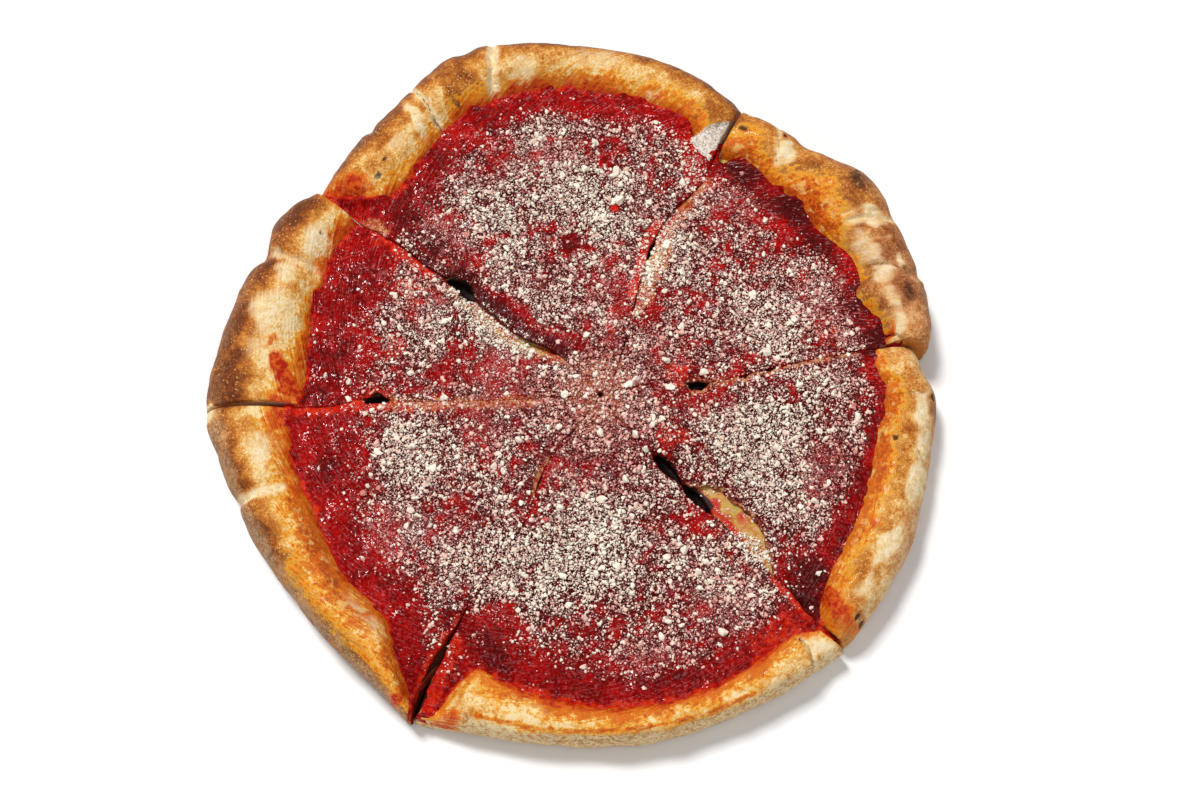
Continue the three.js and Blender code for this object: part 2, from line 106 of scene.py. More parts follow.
# Slices run anticlockwise between two cuts. Rim stations: angle, outer radius, width from the sauce, height.
# Ledges: distance out, width of bare cheese beside the cut.
SLICES = {
    1: dict(cuts="AF", ledges=([[0, 0]], [[0, 0]]), rim=[
        [64.5, 146, 24, 19], [68, 149, 23, 23], [74, 153.5, 21, 25], [84, 159, 22, 26], [95, 163.5, 21, 26],
        [105, 168, 24, 27], [112, 170, 27, 28], [117, 165.5, 25, 27], [124, 160.5, 27, 26],
        [132, 156.5, 29, 26], [138, 154.5, 26, 24], [141, 153.5, 16, 17], [143, 152.5, 12, 14]]),
    2: dict(cuts="BA", ledges=([[0, 0]], [[40, 0], [55, 3.5], [75, 5], [92, 3], [100, 0]]), rim=[
        [8.7, 138.5, 18, 27], [13, 141.5, 21, 28], [20, 145, 28, 28], [26, 147, 25, 26], [32, 149.5, 27, 27],
        [38, 152, 33, 28], [43, 151.5, 30, 28], [48, 148, 27, 25], [55, 146, 23, 25], [60, 146.5, 22, 24],
        [64.5, 146.5, 23, 21]]),
    3: dict(cuts="CB", ledges=([[53, 0], [60, 8], [70, 10.5], [80, 11], [92, 7.5], [102, 0]], [[0, 0]]), rim=[
        [-46.9, 141.5, 17, 14], [-43.5, 142, 21, 22], [-38, 141.5, 24, 24], [-28, 140, 24, 24],
        [-18, 138.5, 24, 24], [-8, 138.5, 23, 24], [-2, 139.5, 22, 23], [1, 139, 21, 23], [5, 134.5, 20, 22],
        [8.7, 133, 17, 20]]),
    4: dict(cuts="DC", ledges=([[0, 0]], [[0, 0]]), rim=[
        [240.7, 151, 8, 12], [243.5, 149.5, 11, 15], [247, 147.5, 25, 21], [252, 144.5, 21, 22],
        [260, 142, 17, 22], [270, 141.5, 14, 22], [280, 141, 13, 22], [290, 140.5, 13, 22],
        [300, 140.5, 15, 22], [307, 141.5, 17, 21], [310, 142, 18, 16], [313.1, 143.5, 15, 13]]),
    5: dict(cuts="ED", ledges=([[0, 0]], [[0, 0]]), rim=[
        [181.4, 162.5, 37, 22], [184, 163, 36, 24], [189, 159, 31, 26], [196, 155, 27, 26],
        [204, 151.5, 26, 27], [212, 149.5, 23, 26], [220, 148.5, 22, 26], [228, 148.5, 23, 25],
        [235, 150, 15, 23], [238.5, 152, 9, 19], [240.7, 153.5, 7, 16]]),
    6: dict(cuts="FE", ledges=([[24, 0], [36, 3.5], [66, 3.5], [80, 0]], [[0, 0]]), rim=[
        [143, 153, 24, 24], [147, 157, 27, 26], [152, 158.5, 30, 27], [156, 155.5, 28, 26],
        [160, 158, 31, 27], [168, 160, 36, 28], [175, 162.5, 40, 27], [181.4, 163, 41, 24]]),
}
# Slumps beside a cut near the rim: slice, which of its cuts, distance out, width, depth.
SLUMPS = [
    [4, 0, 112, 15, 6.0], [5, 1, 122, 10, 4.0], [1, 1, 118, 12, 5.0], [6, 0, 20, 14, 1.6],
    [3, 0, 108, 13, 5.0],
]
SLUMP_RUN = 14
CHEESE_SLUMP = 1.8
# Folds across the rim: slice, angle, half width in degrees, depth.
FOLDS = [
    [1, 111.0, 1.6, 1.6], [1, 129.5, 0.9, 2.2], [2, 52.0, 1.8, 1.8], [2, 33.0, 1.8, 1.6],
    [2, 21.5, 1.2, 2.0], [3, -8.5, 1.0, 1.0], [5, 196.5, 1.3, 2.0], [5, 214.0, 1.4, 1.4],
    [6, 157.0, 1.4, 1.8],
]
# The rim's section from the sauce over the crest: share of the width, share of the height above the sauce.
RIM_INSIDE = [[0, 0.08], [0.15, 0.58], [0.33, 0.9], [0.54, 1]]
# Then down the outside to the foot: share of the width, share of the whole height.
RIM_OUTSIDE = [[0.73, 0.955], [0.88, 0.83], [0.97, 0.64], [1, 0.42], [0.985, 0.2], [0.93, 0.05]]
FOOT_ACROSS = 0.84  # where the underside leaves the table

# ---- Small maths, on arrays ----------------------------------------------------------------------


def along(stations, position, column=1):
    """A smooth curve through stations, which are rows of [position, value, value, ...]."""
    table = np.array(stations, float)
    at, value = table[:, 0], table[:, column]
    if len(at) == 1:
        return np.full(np.shape(position), value[0])
    every = np.arange(len(at))
    before, after = np.maximum(every - 1, 0), np.minimum(every + 1, len(at) - 1)
    slope = (value[after] - value[before]) / (at[after] - at[before])
    held = np.clip(position, at[0], at[-1])
    i = np.clip(np.searchsorted(at, held) - 1, 0, len(at) - 2)
    span = at[i + 1] - at[i]
    t = (held - at[i]) / span
    start = value[i] * (2 * t**3 - 3 * t**2 + 1) + slope[i] * span * (t**3 - 2 * t**2 + t)
    end = value[i + 1] * (3 * t**2 - 2 * t**3) + slope[i + 1] * span * (t**3 - t**2)
    return start + end


def lerp(a, b, share):
    return a + (b - a) * share


def bell(x, half):
    """1 at 0, falling off smoothly on both sides."""
    return np.exp(-((x / half) ** 2))


def smoothstep(x, low, high):
    t = np.clip((x - low) / (high - low), 0, 1)
    return t * t * (3 - 2 * t)


HASH_FACTORS = (73856093, 19349663, 83492791)
HASH_MIX = 1274126177
NOISE_SHIFT = 31.7  # how far the noise of one seed lies from the next


def noise(points, wavelength, seed=0):
    """Smooth value noise from -1 to 1 at an array of points, with features about a wavelength apart."""
    scaled = np.asarray(points, float) / wavelength + NOISE_SHIFT * (seed + 1)
    cell = np.floor(scaled).astype(np.int64)
    part = scaled - cell
    part = part * part * (3 - 2 * part)
    total = 0
    for corner in itertools.product((0, 1), repeat=scaled.shape[-1]):
        at = cell + np.array(corner)
        mixed = 0
        for axis, factor in zip(range(scaled.shape[-1]), HASH_FACTORS):
            mixed = mixed ^ at[..., axis] * factor
        mixed = (mixed ^ (mixed >> 13)) * HASH_MIX & 0x7FFFFFFF
        value = ((mixed ^ (mixed >> 16)) & 0xFFFF) / 32767.5 - 1
        total = total + value * np.prod(np.where(np.array(corner) == 1, part, 1 - part), axis=-1)
    return total


def layered(points, layers, seed):
    """A sum of noises, each [wavelength, height]."""
    return sum(height * noise(points, wavelength, seed + k) for k, (wavelength, height) in enumerate(layers))


def polar(points):
    """Angle in degrees from 0 to 360 and distance, about the point where the cuts meet."""
    across = points[..., 0] - CUTS_MEET[0]
    up = points[..., 1] - CUTS_MEET[1]
    return np.degrees(np.arctan2(up, across)) % 360, np.hypot(across, up)


def plan(angle, distance):
    a = np.radians(angle)
    return np.stack([CUTS_MEET[0] + distance * np.cos(a), CUTS_MEET[1] + distance * np.sin(a)], -1)


def arc(angle, distance):
    """How long a turn of so many degrees is at a distance."""
    return np.radians(angle) * distance


def turn_between(angle, reference):
    """How far one angle lies anticlockwise of another, from -180 to 180 degrees."""
    return (angle - reference + 180) % 360 - 180


def round_rim(table, angle, column=1):
    """The value at these angles of a table that runs round the rim from cut C to cut C."""
    return along(table, turn_between(angle, RIM_TABLES_MIDDLE) + RIM_TABLES_MIDDLE, column)


def spots(places, angle, distance):
    """How strong soft-edged spots are at each place, where the strongest counts. A spot is [angle,
    distance, half length round, half width across, strength]."""
    strongest = np.zeros(np.shape(angle))
    for at, out, half_round, half_across, strength in places:
        round_ = arc(turn_between(angle, at), out) / half_round
        across = (distance - out) / half_across
        strongest = np.maximum(strongest, strength * np.exp(-(round_**2 + across**2) ** 1.5))
    return strongest


def line_distance(path, points):
    """Distance from plan points to a path of [angle, distance] stations."""
    ends = [plan(a, d) for a, d in path]
    nearest = np.full(points.shape[:-1], np.inf)
    for start, end in zip(ends, ends[1:]):
        run = end - start
        share = np.clip(((points - start) @ run) / (run @ run), 0, 1)
        nearest = np.minimum(nearest, np.linalg.norm(points - start - share[..., None] * run, axis=-1))
    return nearest


def inside(outline, points, soft):
    """1 inside an outline of [angle, distance] corners, 0 outside, over a soft edge in millimetres."""
    corners = np.array([plan(a, d) for a, d in outline])
    x, y = points[..., 0], points[..., 1]
    crossed = np.zeros(x.shape, bool)
    for (x0, y0), (x1, y1) in zip(corners, np.roll(corners, -1, 0)):
        spans = (y0 > y) != (y1 > y)
        crossed ^= spans & (x < (x1 - x0) * (y - y0) / (y1 - y0 + 1e-12) + x0)
    border = line_distance([*outline, outline[0]], points)
    return smoothstep(np.where(crossed, border, -border), -soft, soft)


# ---- Plan and heights of a slice -----------------------------------------------------------------


def cut_gap(cut, distance, closed=0.0):
    """How wide a cut stands open. Wide gaps are never closed."""
    gap = along(CUTS[cut][1], distance, 2)
    sealed = along(SEALED[cut], distance) if closed and cut in SEALED else 0
    closing = closed * (1 - smoothstep(gap, *WIDE_GAP))
    return np.maximum(gap - closing - sealed, np.minimum(gap, LEAST_GAP))


def edge_angle(cut, distance, side, closed=0.0):
    """The angle of a cut's edge. side is 1 for the slice anticlockwise of the cut and -1 for the other."""
    heading, line = CUTS[cut]
    offset = along(line, distance, 1) + side * cut_gap(cut, distance, closed) / 2
    return heading + np.degrees(offset / distance)


def edges(number, distance, closed=0.0):
    """Angles of a slice's two edges; closed is how much narrower the cuts are than they are lower down."""
    start_cut, end_cut = SLICES[number]["cuts"]
    start = edge_angle(start_cut, distance, 1, closed)
    end = edge_angle(end_cut, distance, -1, closed)
    return start, np.where(end < start, end + 360, end)


def slice_width(number, distance):
    """How long a slice is round the pizza at a distance."""
    start, end = edges(number, np.asarray(distance, float))
    return arc(end - start, distance)


def slice_angle(number, share, distance, inset_start=0.0, inset_end=0.0, closed=0.0):
    """The angle at a share of the way round a slice, between edges that may be set in."""
    start, end = edges(number, distance, closed)
    return lerp(start + np.degrees(inset_start / distance), end - np.degrees(inset_end / distance), share)


def rim_at(number, share):
    """Outer radius, width and height of the rim, and its angle."""
    angle = slice_angle(number, share, np.full(np.shape(share), RIM_REFERENCE_RADIUS))
    fold = sum(depth * bell(angle - at, half) for n, at, half, depth in FOLDS if n == number)
    rim = SLICES[number]["rim"]
    return along(rim, angle, 1) - fold / 2, along(rim, angle, 2), along(rim, angle, 3) - fold, angle


def swell(points):
    """Low waves that run through the whole top."""
    total = 0
    for height, wavelength, heading, phase in SWELLS:
        a = math.radians(heading)
        run = points[..., 0] * math.cos(a) + points[..., 1] * math.sin(a)
        total = total + height * np.sin(2 * math.pi * run / wavelength + math.radians(phase))
    return total


def edge_distances(number, angle, distance):
    start, end = edges(number, distance)
    return arc(angle - start, distance), arc(end - angle, distance)


def slump(number, angle, distance):
    """How far the top has sunk beside the cuts."""
    away = edge_distances(number, angle, distance)
    total = np.zeros(np.shape(distance))
    for n, side, start, width, depth in SLUMPS:
        if n == number:
            beside = 1 - smoothstep(away[side], 0, width)
            total = total + depth * beside * smoothstep(distance, start, start + SLUMP_RUN)
    return total


def sauce_level(number, angle, distance):
    return SAUCE_LEVEL + swell(plan(angle, distance)) - slump(number, angle, distance)


# ---- Meshes --------------------------------------------------------------------------------------


def block(columns, rows, layers):
    """A closed block of unit size: columns along X, rows along Y, and layers up Z on its four sides. Its
    columns are then laid out anticlockwise, which mirrors it, so its faces start out turned over."""
    mesh = bmesh.new()
    bmesh.ops.create_grid(mesh, x_segments=columns, y_segments=rows, size=0.5)
    lifted = bmesh.ops.extrude_face_region(mesh, geom=mesh.faces[:], use_keep_orig=True)
    top = [v for v in lifted["geom"] if isinstance(v, bmesh.types.BMVert)]
    bmesh.ops.translate(mesh, verts=top, vec=(0.5, 0.5, 1))
    low = list(set(mesh.verts) - set(top))
    bmesh.ops.translate(mesh, verts=low, vec=(0.5, 0.5, 0))
    upright = [e for e in mesh.edges if abs(e.verts[0].co.z - e.verts[1].co.z) > 0.5]
    bmesh.ops.subdivide_edges(mesh, edges=upright, cuts=layers - 1, use_grid_fill=True)
    bmesh.ops.recalc_face_normals(mesh, faces=mesh.faces)
    bmesh.ops.reverse_faces(mesh, faces=mesh.faces)
    data = bpy.data.meshes.new("block")
    mesh.to_mesh(data)
    mesh.free()
    return data


def coordinates(data):
    flat = np.empty(len(data.vertices) * 3, np.float32)
    data.vertices.foreach_get("co", flat)
    return flat.reshape(-1, 3).astype(float)


def set_coordinates(data, points_mm):
    data.vertices.foreach_set("co", (points_mm * MM).astype(np.float32).ravel())
    data.update()


def set_attribute(data, name, values):
    data.attributes.new(name, "FLOAT", "POINT").data.foreach_set("value", values.astype(np.float32))


def add_piece(name, data, finish, slot, *nodes, smooth=True):
    """A finished piece riding on the pizza's one body in place of its nodes."""
    data.name = name
    data.materials.append(finish)
    data.polygons.foreach_set("use_smooth", [smooth] * len(data.polygons))
    piece = bpy.data.objects.new(name, data)
    bpy.context.scene.collection.objects.link(piece)
    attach(piece, ROOT)
    if nodes:
        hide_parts(*nodes)
    return piece


def raised(flat, height):
    """Plan points with a height given to each."""
    return np.concatenate([flat, height[..., None]], -1)


def wrapped(lower, upper, layers):
    """A closed mesh laid between two sheets of points, each columns by rows, with the column, row, share
    of the way up and place of each of its vertices."""
    columns, rows = lower.shape[0] - 1, lower.shape[1] - 1
    data = block(columns, rows, layers)
    unit = coordinates(data)
    i = np.rint(unit[:, 0] * columns).astype(int)
    j = np.rint(unit[:, 1] * rows).astype(int)
    layer = unit[:, 2]
    return data, i, j, layer, lerp(lower[i, j], upper[i, j], layer[:, None])


def bulged(points, i, bulge):
    """Points of a slice moved outward across its two cut faces, which are its first and last columns."""
    a = np.radians(polar(points)[0])
    sideways = np.stack([-np.sin(a), np.cos(a), np.zeros_like(a)], -1)
    return points + sideways * (bulge * ((i == i.max()) * 1.0 - (i == 0)))[:, None]


# ---- Baked crust ---------------------------------------------------------------------------------

CRUST_PITCH = 0.8
CRUST_LAYERS = 7
HIDDEN_ROWS = [TIP_RADIUS, 20, 40, 60, 80, 98]
SECTION_SAMPLES = [5, 7, 7, 7, 7, 7, 6, 6, 6, 5, 4]  # rows between one section point and the next
# Relief of the dough: wavelength, height.
DOUGH_LUMPS = [[26, 0.9], [11, 0.5], [5, 0.26], [2.4, 0.12]]

# Creases and cracks: slice, path of [angle, distance], half width, depth, paleness, painted shade at the
# bottom.
CREASES = [
    [1, [[120.6, 161], [120.0, 153.5], [119.6, 145], [119.3, 136]], 0.9, 2.6, 1.0, 0.72],
    [1, [[106.4, 166], [107.0, 159], [108.0, 150], [108.6, 142]], 1.5, 2.4, 0.9, 0.25],
    [2, [[57.5, 144], [55.5, 135], [54.0, 127]], 1.1, 1.2, 0.6, 0.5],
    [2, [[32.0, 146], [34.0, 136], [35.6, 128]], 1.3, 1.6, 0.7, 0.3],
    [2, [[26.6, 124], [25.0, 133], [22.6, 138.5], [19.2, 142.4]], 0.9, 2.0, 0.4, 0.62],
    [2, [[11.8, 121], [10.2, 126], [9.2, 130]], 0.9, 1.4, 0.4, 0.6],
    [2, [[37.2, 128], [36.4, 134], [33.8, 142]], 0.9, 1.1, 0.5, 0.25],
    [2, [[29.6, 125], [30.4, 132], [29.2, 139]], 0.8, 0.9, 0.4, 0.2],
    [2, [[16.6, 123], [15.4, 130], [12.6, 135]], 0.8, 1.0, 0.4, 0.3],
    [3, [[-9.4, 125], [-9.8, 129], [-12.0, 134], [-13.4, 136]], 0.8, 1.0, 0.3, 0.5],
    [4, [[308.4, 128], [308.2, 135], [307.0, 141]], 0.9, 1.6, 0.7, 0.6],
    [5, [[197.2, 155], [197.6, 144], [197.6, 134]], 1.4, 1.6, 0.9, 0.4],
    [5, [[215.0, 146], [216.6, 136], [217.9, 127]], 1.4, 1.2, 0.0, 0.2],
    [6, [[155.9, 150], [155.8, 137], [155.3, 126]], 1.5, 1.4, 0.6, 0.2],
]

# How browned each slice's rim is over its section: share of the way over, brownness.
BROWNED_OVER = {
    1: [[0, 0.2], [0.25, 0.2], [0.4, 0.46], [0.55, 0.86], [0.7, 0.9], [1, 0.66]],
    2: [[0, 0.6], [0.25, 0.6], [0.45, 0.54], [0.65, 0.5], [1, 0.5]],
    3: [[0, 0.3], [0.15, 0.4], [0.26, 0.42], [0.38, 0.36], [0.55, 0.18], [0.8, 0.2], [1, 0.4]],
    4: [[0, 0.16], [0.35, 0.14], [0.6, 0.26], [1, 0.3]],
    5: [[0, 0.12], [0.3, 0.10], [0.38, 0.38], [0.48, 0.7], [0.8, 0.8], [1, 0.8]],
    6: [[0, 0.14], [0.2, 0.1], [0.29, 0.36], [0.38, 0.74], [0.55, 0.86], [0.8, 0.84], [1, 0.7]],
}
# Browned patches: [angle, distance, half length round, half width across, strength]. The tables of charred,
# pale, rosy and stained patches after them have the same form.
BROWNED = [
    [113.5, 157, 12, 12, 0.72], [111.5, 146, 9, 6, 0.6], [115, 148, 5, 5, 0.8], [101, 160, 9, 7, 0.52],
    [127, 157, 15, 6, 0.66], [124, 150, 7, 5, 0.5], [130, 146, 8, 4, 0.6], [133, 140, 7, 5, 0.62],
    [137, 141, 5, 6, 0.8], [71, 133, 8, 4, 0.72], [77, 134, 6, 4, 0.66], [69, 138, 5, 4, 0.5],
    [75, 147, 8, 4, 0.42], [41, 141, 12, 9, 0.66], [46, 131, 10, 7, 0.5], [25, 142, 9, 6, 0.56],
    [18, 135, 8, 7, 0.66], [14, 138, 7, 6, 0.5], [62, 137, 6, 6, 0.56], [50, 143, 8, 4, 0.5],
    [29, 128, 5, 6, 0.4], [-43, 139, 6, 5, 0.5], [-46, 141, 4, 4, 0.6], [-15, 121, 9, 3, 0.5],
    [-3, 137, 6, 4, 0.5], [169, 156, 26, 9, 0.78], [153, 154, 12, 6, 0.66], [176, 153, 12, 7, 0.7],
    [163, 148, 14, 7, 0.5], [150, 137, 5, 5, 0.5], [190, 155, 12, 7, 0.66], [203, 148, 18, 6, 0.72],
    [210, 146, 12, 6, 0.66], [187, 143, 8, 8, 0.4], [226, 147, 14, 4, 0.5], [249, 142, 10, 4, 0.4],
    [262, 140, 9, 3, 0.42], [292, 140, 8, 3, 0.5], [300, 139, 8, 3, 0.4], [314, 144, 4, 5, 0.66],
    [311, 137, 4, 5, 0.3],
]
CHARRED = [
    [115.2, 144.6, 2.0, 1.8, 0.75], [131.6, 138, 2.2, 1.2, 0.8], [134.4, 134.5, 2.4, 1.8, 0.8],
    [75.8, 149.8, 0.9, 0.7, 1.0], [72, 132, 3, 1.6, 0.5], [62.8, 134.4, 2.6, 1.4, 0.95],
    [55.4, 140.2, 1.1, 0.9, 1.0], [40.6, 143.6, 7, 5.5, 0.69], [41.6, 147.4, 4, 2.4, 0.6],
    [17.8, 134, 6, 4, 0.6], [-9.2, 121, 1.5, 1.4, 1.0], [-0.6, 137, 2.4, 1.6, 0.85],
    [-42.6, 137.5, 2.2, 1.2, 0.9], [-42.4, 141.0, 2.6, 1.0, 0.9], [149.4, 136, 1.6, 1.4, 0.6],
    [147.6, 132, 1.4, 1.2, 0.5], [176.6, 157.5, 7, 3, 0.5],
]
PALE = [
    [80.8, 138, 3, 3, 0.75], [53.5, 134, 7, 7, 0.95], [33.5, 138, 6, 6, 0.8], [23.5, 128, 6, 7, 0.7],
    [24, 137, 6, 2.6, 0.8], [13, 126, 7, 5, 0.7], [10, 133, 5, 4, 0.4], [90, 153, 20, 7, 0.5],
    [103, 150, 9, 9, 0.5], [17, 127.5, 13, 4.5, 0.62], [29, 127.5, 12, 5, 0.6], [122.5, 147, 3, 12, 0.95],
    [128, 141, 10, 4, 0.55], [151, 136, 9, 6, 0.9], [158, 140, 8, 7, 0.75], [166, 141, 13, 8, 0.75],
    [173, 141, 7, 8, 0.5], [191, 139, 10, 8, 0.7], [183, 162, 3, 4, 1.0], [222, 130, 8, 4, 0.5],
    [228, 133, 9, 4, 0.5], [-3, 131, 10, 3.8, 0.9], [-9, 132, 9, 3.6, 0.8], [-17, 133, 11, 3.8, 0.85],
    [-30, 131.5, 13, 3.8, 0.85], [-38, 133, 7, 3.6, 0.6], [310, 134, 4, 7, 0.7], [260, 131, 8, 3, 0.4],
]
ROSY = [[20, 138, 36, 18, 1.1], [-5, 140, 24, 9, 1.15], [-25, 141, 24, 9, 1.1], [40, 150, 20, 9, 0.8],
        [-42, 140, 10, 6, 0.6]]
RED_STAINS = [
    [175.2, 131.4, 6.0, 3.4, 1.2], [178.4, 127.5, 6.5, 3.6, 1.3], [180.2, 124, 4, 4, 1.2],
    [171.5, 137, 3, 2, 0.6], [148.2, 129.5, 5.0, 4.0, 0.8], [144.4, 128, 5, 6, 0.9], [184, 130, 9, 8, 0.75],
    [191, 127, 10, 5, 0.6], [141.5, 143, 5, 12, 0.9], [138.6, 139, 7, 7, 1.0], [217, 128, 5, 3, 0.6],
    [220, 129, 5, 3, 0.4], [237.5, 148, 3, 10, 0.85], [245.5, 146, 7, 9, 0.7], [-44.8, 133, 4, 9, 0.8],
    [-27, 121, 5, 3, 0.7], [12, 122, 5, 2.4, 0.7], [309, 124, 6, 4, 0.8], [-43, 124, 6, 8, 1.0],
    [-44.8, 132, 5, 10, 0.9], [139.6, 141, 5, 9, 0.75], [136.6, 134, 6, 4, 0.55],
]
RIM_TABLES_MIDDLE = 133  # the angle across from cut C, where tables round the rim begin and end
# The oily orange band beside the sauce: angle, its width, its strength.
OILED = [
    [-46.9, 13, 0.9], [-36, 9, 1.05], [-25, 9, 1.1], [-10, 9, 1.1], [0, 8, 1.0], [8.7, 4, 0.7],
    [20, 4, 0.55], [33, 6, 0.6], [38, 15, 1.0], [46, 17, 1.1], [52, 9, 0.8], [60, 12, 1.0], [64, 12, 0.9],
    [66, 6, 0.5], [72, 8, 0.8], [79, 8, 0.8], [86, 9, 0.95], [96, 9, 0.95], [105, 6, 0.7], [112, 9, 0.7],
    [119, 7, 0.5], [128, 5, 0.6], [136, 8, 0.75], [143, 8, 0.8], [150, 5, 0.5], [160, 5, 0.5],
    [170, 7, 0.6], [181, 15, 1.0], [190, 14, 1.0], [197, 11, 0.9], [206, 17, 1.05], [216, 19, 1.1],
    [226, 18, 1.1], [234, 12, 1.0], [241, 8, 1.0], [248, 13, 0.95], [258, 10, 1.0], [270, 9, 1.05],
    [285, 9, 1.05], [300, 9, 1.05], [313.1, 10, 0.9],
]
OILED_LINES = [  # thin lines of oil caught outside the band: path, half width, strength
    [[[250, 139.5], [258, 138.4], [268, 137.6], [278, 137], [288, 137.2], [296, 136.5]], 1.4, 0.9],
    [[[214.5, 141], [221, 140.5], [228, 141.5], [233, 143]], 1.3, 0.6],
]
# The rim's end where the crumb is torn open.
TORN = [
    [71.8, 119], [71.6, 123.5], [69, 129.5], [65.5, 136], [62, 137], [62, 119], [64.6, 118.5],
    [66.8, 113.5], [69, 114.5],
]
TORN_DEPTH = 0.6
TORN_OVER_SAUCE = 0.8
PORE_DEPTH = 1.5
CHAR_DEPTH = 0.6
CUT_CALM = 0.25  # how much of the relief is left at the edge of a cut
RELIEF_SUNK = 0.4
# How stained with sauce, and how pale and open, the crust's faces at the two cuts are.
# Faces stained above 1 are also darkened by painted shade.
FACES_STAINED = {1: (0.1, 0.8), 2: (0.1, 0.1), 3: (0.8, 0.3), 4: (1.8, 0.5), 5: (0.2, 1.8), 6: (0.1, 0.2)}
FACES_CRUMBY = {1: (0.6, 0.2), 2: (0.0, 0.5), 3: (0.2, 0.3), 4: (0.2, 0.6), 5: (0.6, 0.2), 6: (1.0, 0.5)}
FACES_BROWNED = 0.45
FACE_INSET = 0.45  # how far the crumbling faces at the cuts stand back
CRUMBLING = [[2.4, 0.35], [1.3, 0.25]]  # wavelength, height
OIL_RAGGED = [[9, 2.2], [3.5, 1.2]]
BASE_HEIGHT = (6.6, 9)  # between these heights the uncut base ends
BASE_SEAM = 0.03
# How far out each cut's base parts, and how far out painted shade darkens the gap.
BASE_PARTS = {"A": (140, 125), "B": (140, 125), "C": (144, 134),
              "D": (158, 148), "E": (161, 153), "F": (140, 125)}
BASE_PARTING = 10
GAPS_REDDENED = {"D": 0.75}  # how far sauce has reddened the base in a cut
FLOURED = {1: 0.1, 2: 0.15, 3: 0.1, 4: 0.95, 5: 0.35, 6: 0.1}  # how floury each slice's outer wall is


def spline_rows(points, samples):
    """Catmull-Rom rows through section points, which are columns by points by 2."""
    before, after = 2 * points[:, :1] - points[:, 1:2], 2 * points[:, -1:] - points[:, -2:-1]
    padded = np.concatenate([before, points, after], 1)
    rows = []
    for k, count in enumerate(samples):
        a, b, c, d = (padded[:, k + n] for n in range(4))
        for t in np.arange(count) / count:
            rows.append(0.5 * (2 * b + (c - a) * t + (2 * a - 5 * b + 4 * c - d) * t**2
                               + (3 * b - a - 3 * c + d) * t**3))
    rows.append(points[:, -1])
    return np.stack(rows, 1)


def rim_section(number, share):
    """The rim's upper sheet over each column, columns by rows by [distance out, height], from under the
    sauce to the foot, and the rim's inner radius."""
    outer, width, height, _ = rim_at(number, share)
    inner = outer - width
    contact = sauce_level(number, slice_angle(number, share, inner), inner)
    crest = np.maximum(height, contact + LEAST_CREST)
    points = [np.stack([inner - RIM_FOOT, np.full_like(inner, DOUGH_TOP)], -1)]
    points += [np.stack([inner + x * width, lerp(contact, crest, up)], -1) for x, up in RIM_INSIDE]
    points += [np.stack([inner + x * width, up * crest], -1) for x, up in RIM_OUTSIDE]
    points += [np.stack([inner + FOOT_ACROSS * width, np.full_like(inner, FOOT_HEIGHT)], -1)]
    return spline_rows(np.stack(points, 1), SECTION_SAMPLES), inner


def placed(number, share, section):
    """Points for a sheet of [distance out, height] over the columns of a slice."""
    distance = section[..., 0]
    angle = slice_angle(number, np.broadcast_to(share[:, None], distance.shape), distance)
    return raised(plan(angle, distance), section[..., 1])


def sheet_normals(sheet):
    across = np.gradient(sheet, axis=0)
    out = np.gradient(sheet, axis=1)
    normal = np.cross(out, across)
    return normal / np.maximum(np.linalg.norm(normal, axis=-1, keepdims=True), 1e-9)


def crust_form(number, share):
    """Lower and upper sheets of a slice's crust without relief, and the rim's inner radius."""
    columns = len(share) - 1
    section, inner = rim_section(number, share)
    hidden = np.stack([np.broadcast_to(HIDDEN_ROWS, (columns + 1, len(HIDDEN_ROWS))),
                       np.full((columns + 1, len(HIDDEN_ROWS)), DOUGH_TOP)], -1)
    upper = placed(number, share, np.concatenate([hidden, section], 1))
    foot = section[:, -1:, 0]
    steps = np.linspace(0, 1, section.shape[1] + 1)[1:]
    under = np.concatenate([hidden[..., 0], lerp(HIDDEN_ROWS[-1], foot, steps)], 1)
    lower = placed(number, share, np.stack([under, np.zeros_like(under)], -1))
    return lower, upper, inner


def oil_and_fringe(angle, distance, flat, inner):
    """How oily the crust is beside the sauce, and how red a fringe the sauce leaves on it."""
    beyond = distance - inner[:, None]
    oil_width, oil_strength = (round_rim(OILED, angle, column) for column in (1, 2))
    streaks = noise(np.stack([arc(angle, distance) / 1.6, distance / 7], -1), 1, 5)
    ragged = layered(flat, OIL_RAGGED, 3) + 1.6 * streaks
    oiled = oil_strength * (1.15 - smoothstep(beyond + ragged, -1, 1.3 * oil_width) * 1.15)
    for path, half, strength in OILED_LINES:
        gap = line_distance(path, flat) + 0.6 * np.abs(noise(flat, 5, 8))
        oiled = np.maximum(oiled, strength * bell(gap, half))
    fringe = round_rim(BRIGHT_RIM, angle) * (1 - smoothstep(beyond + 0.7 * ragged, -1.5, 5.5))
    return oiled, fringe


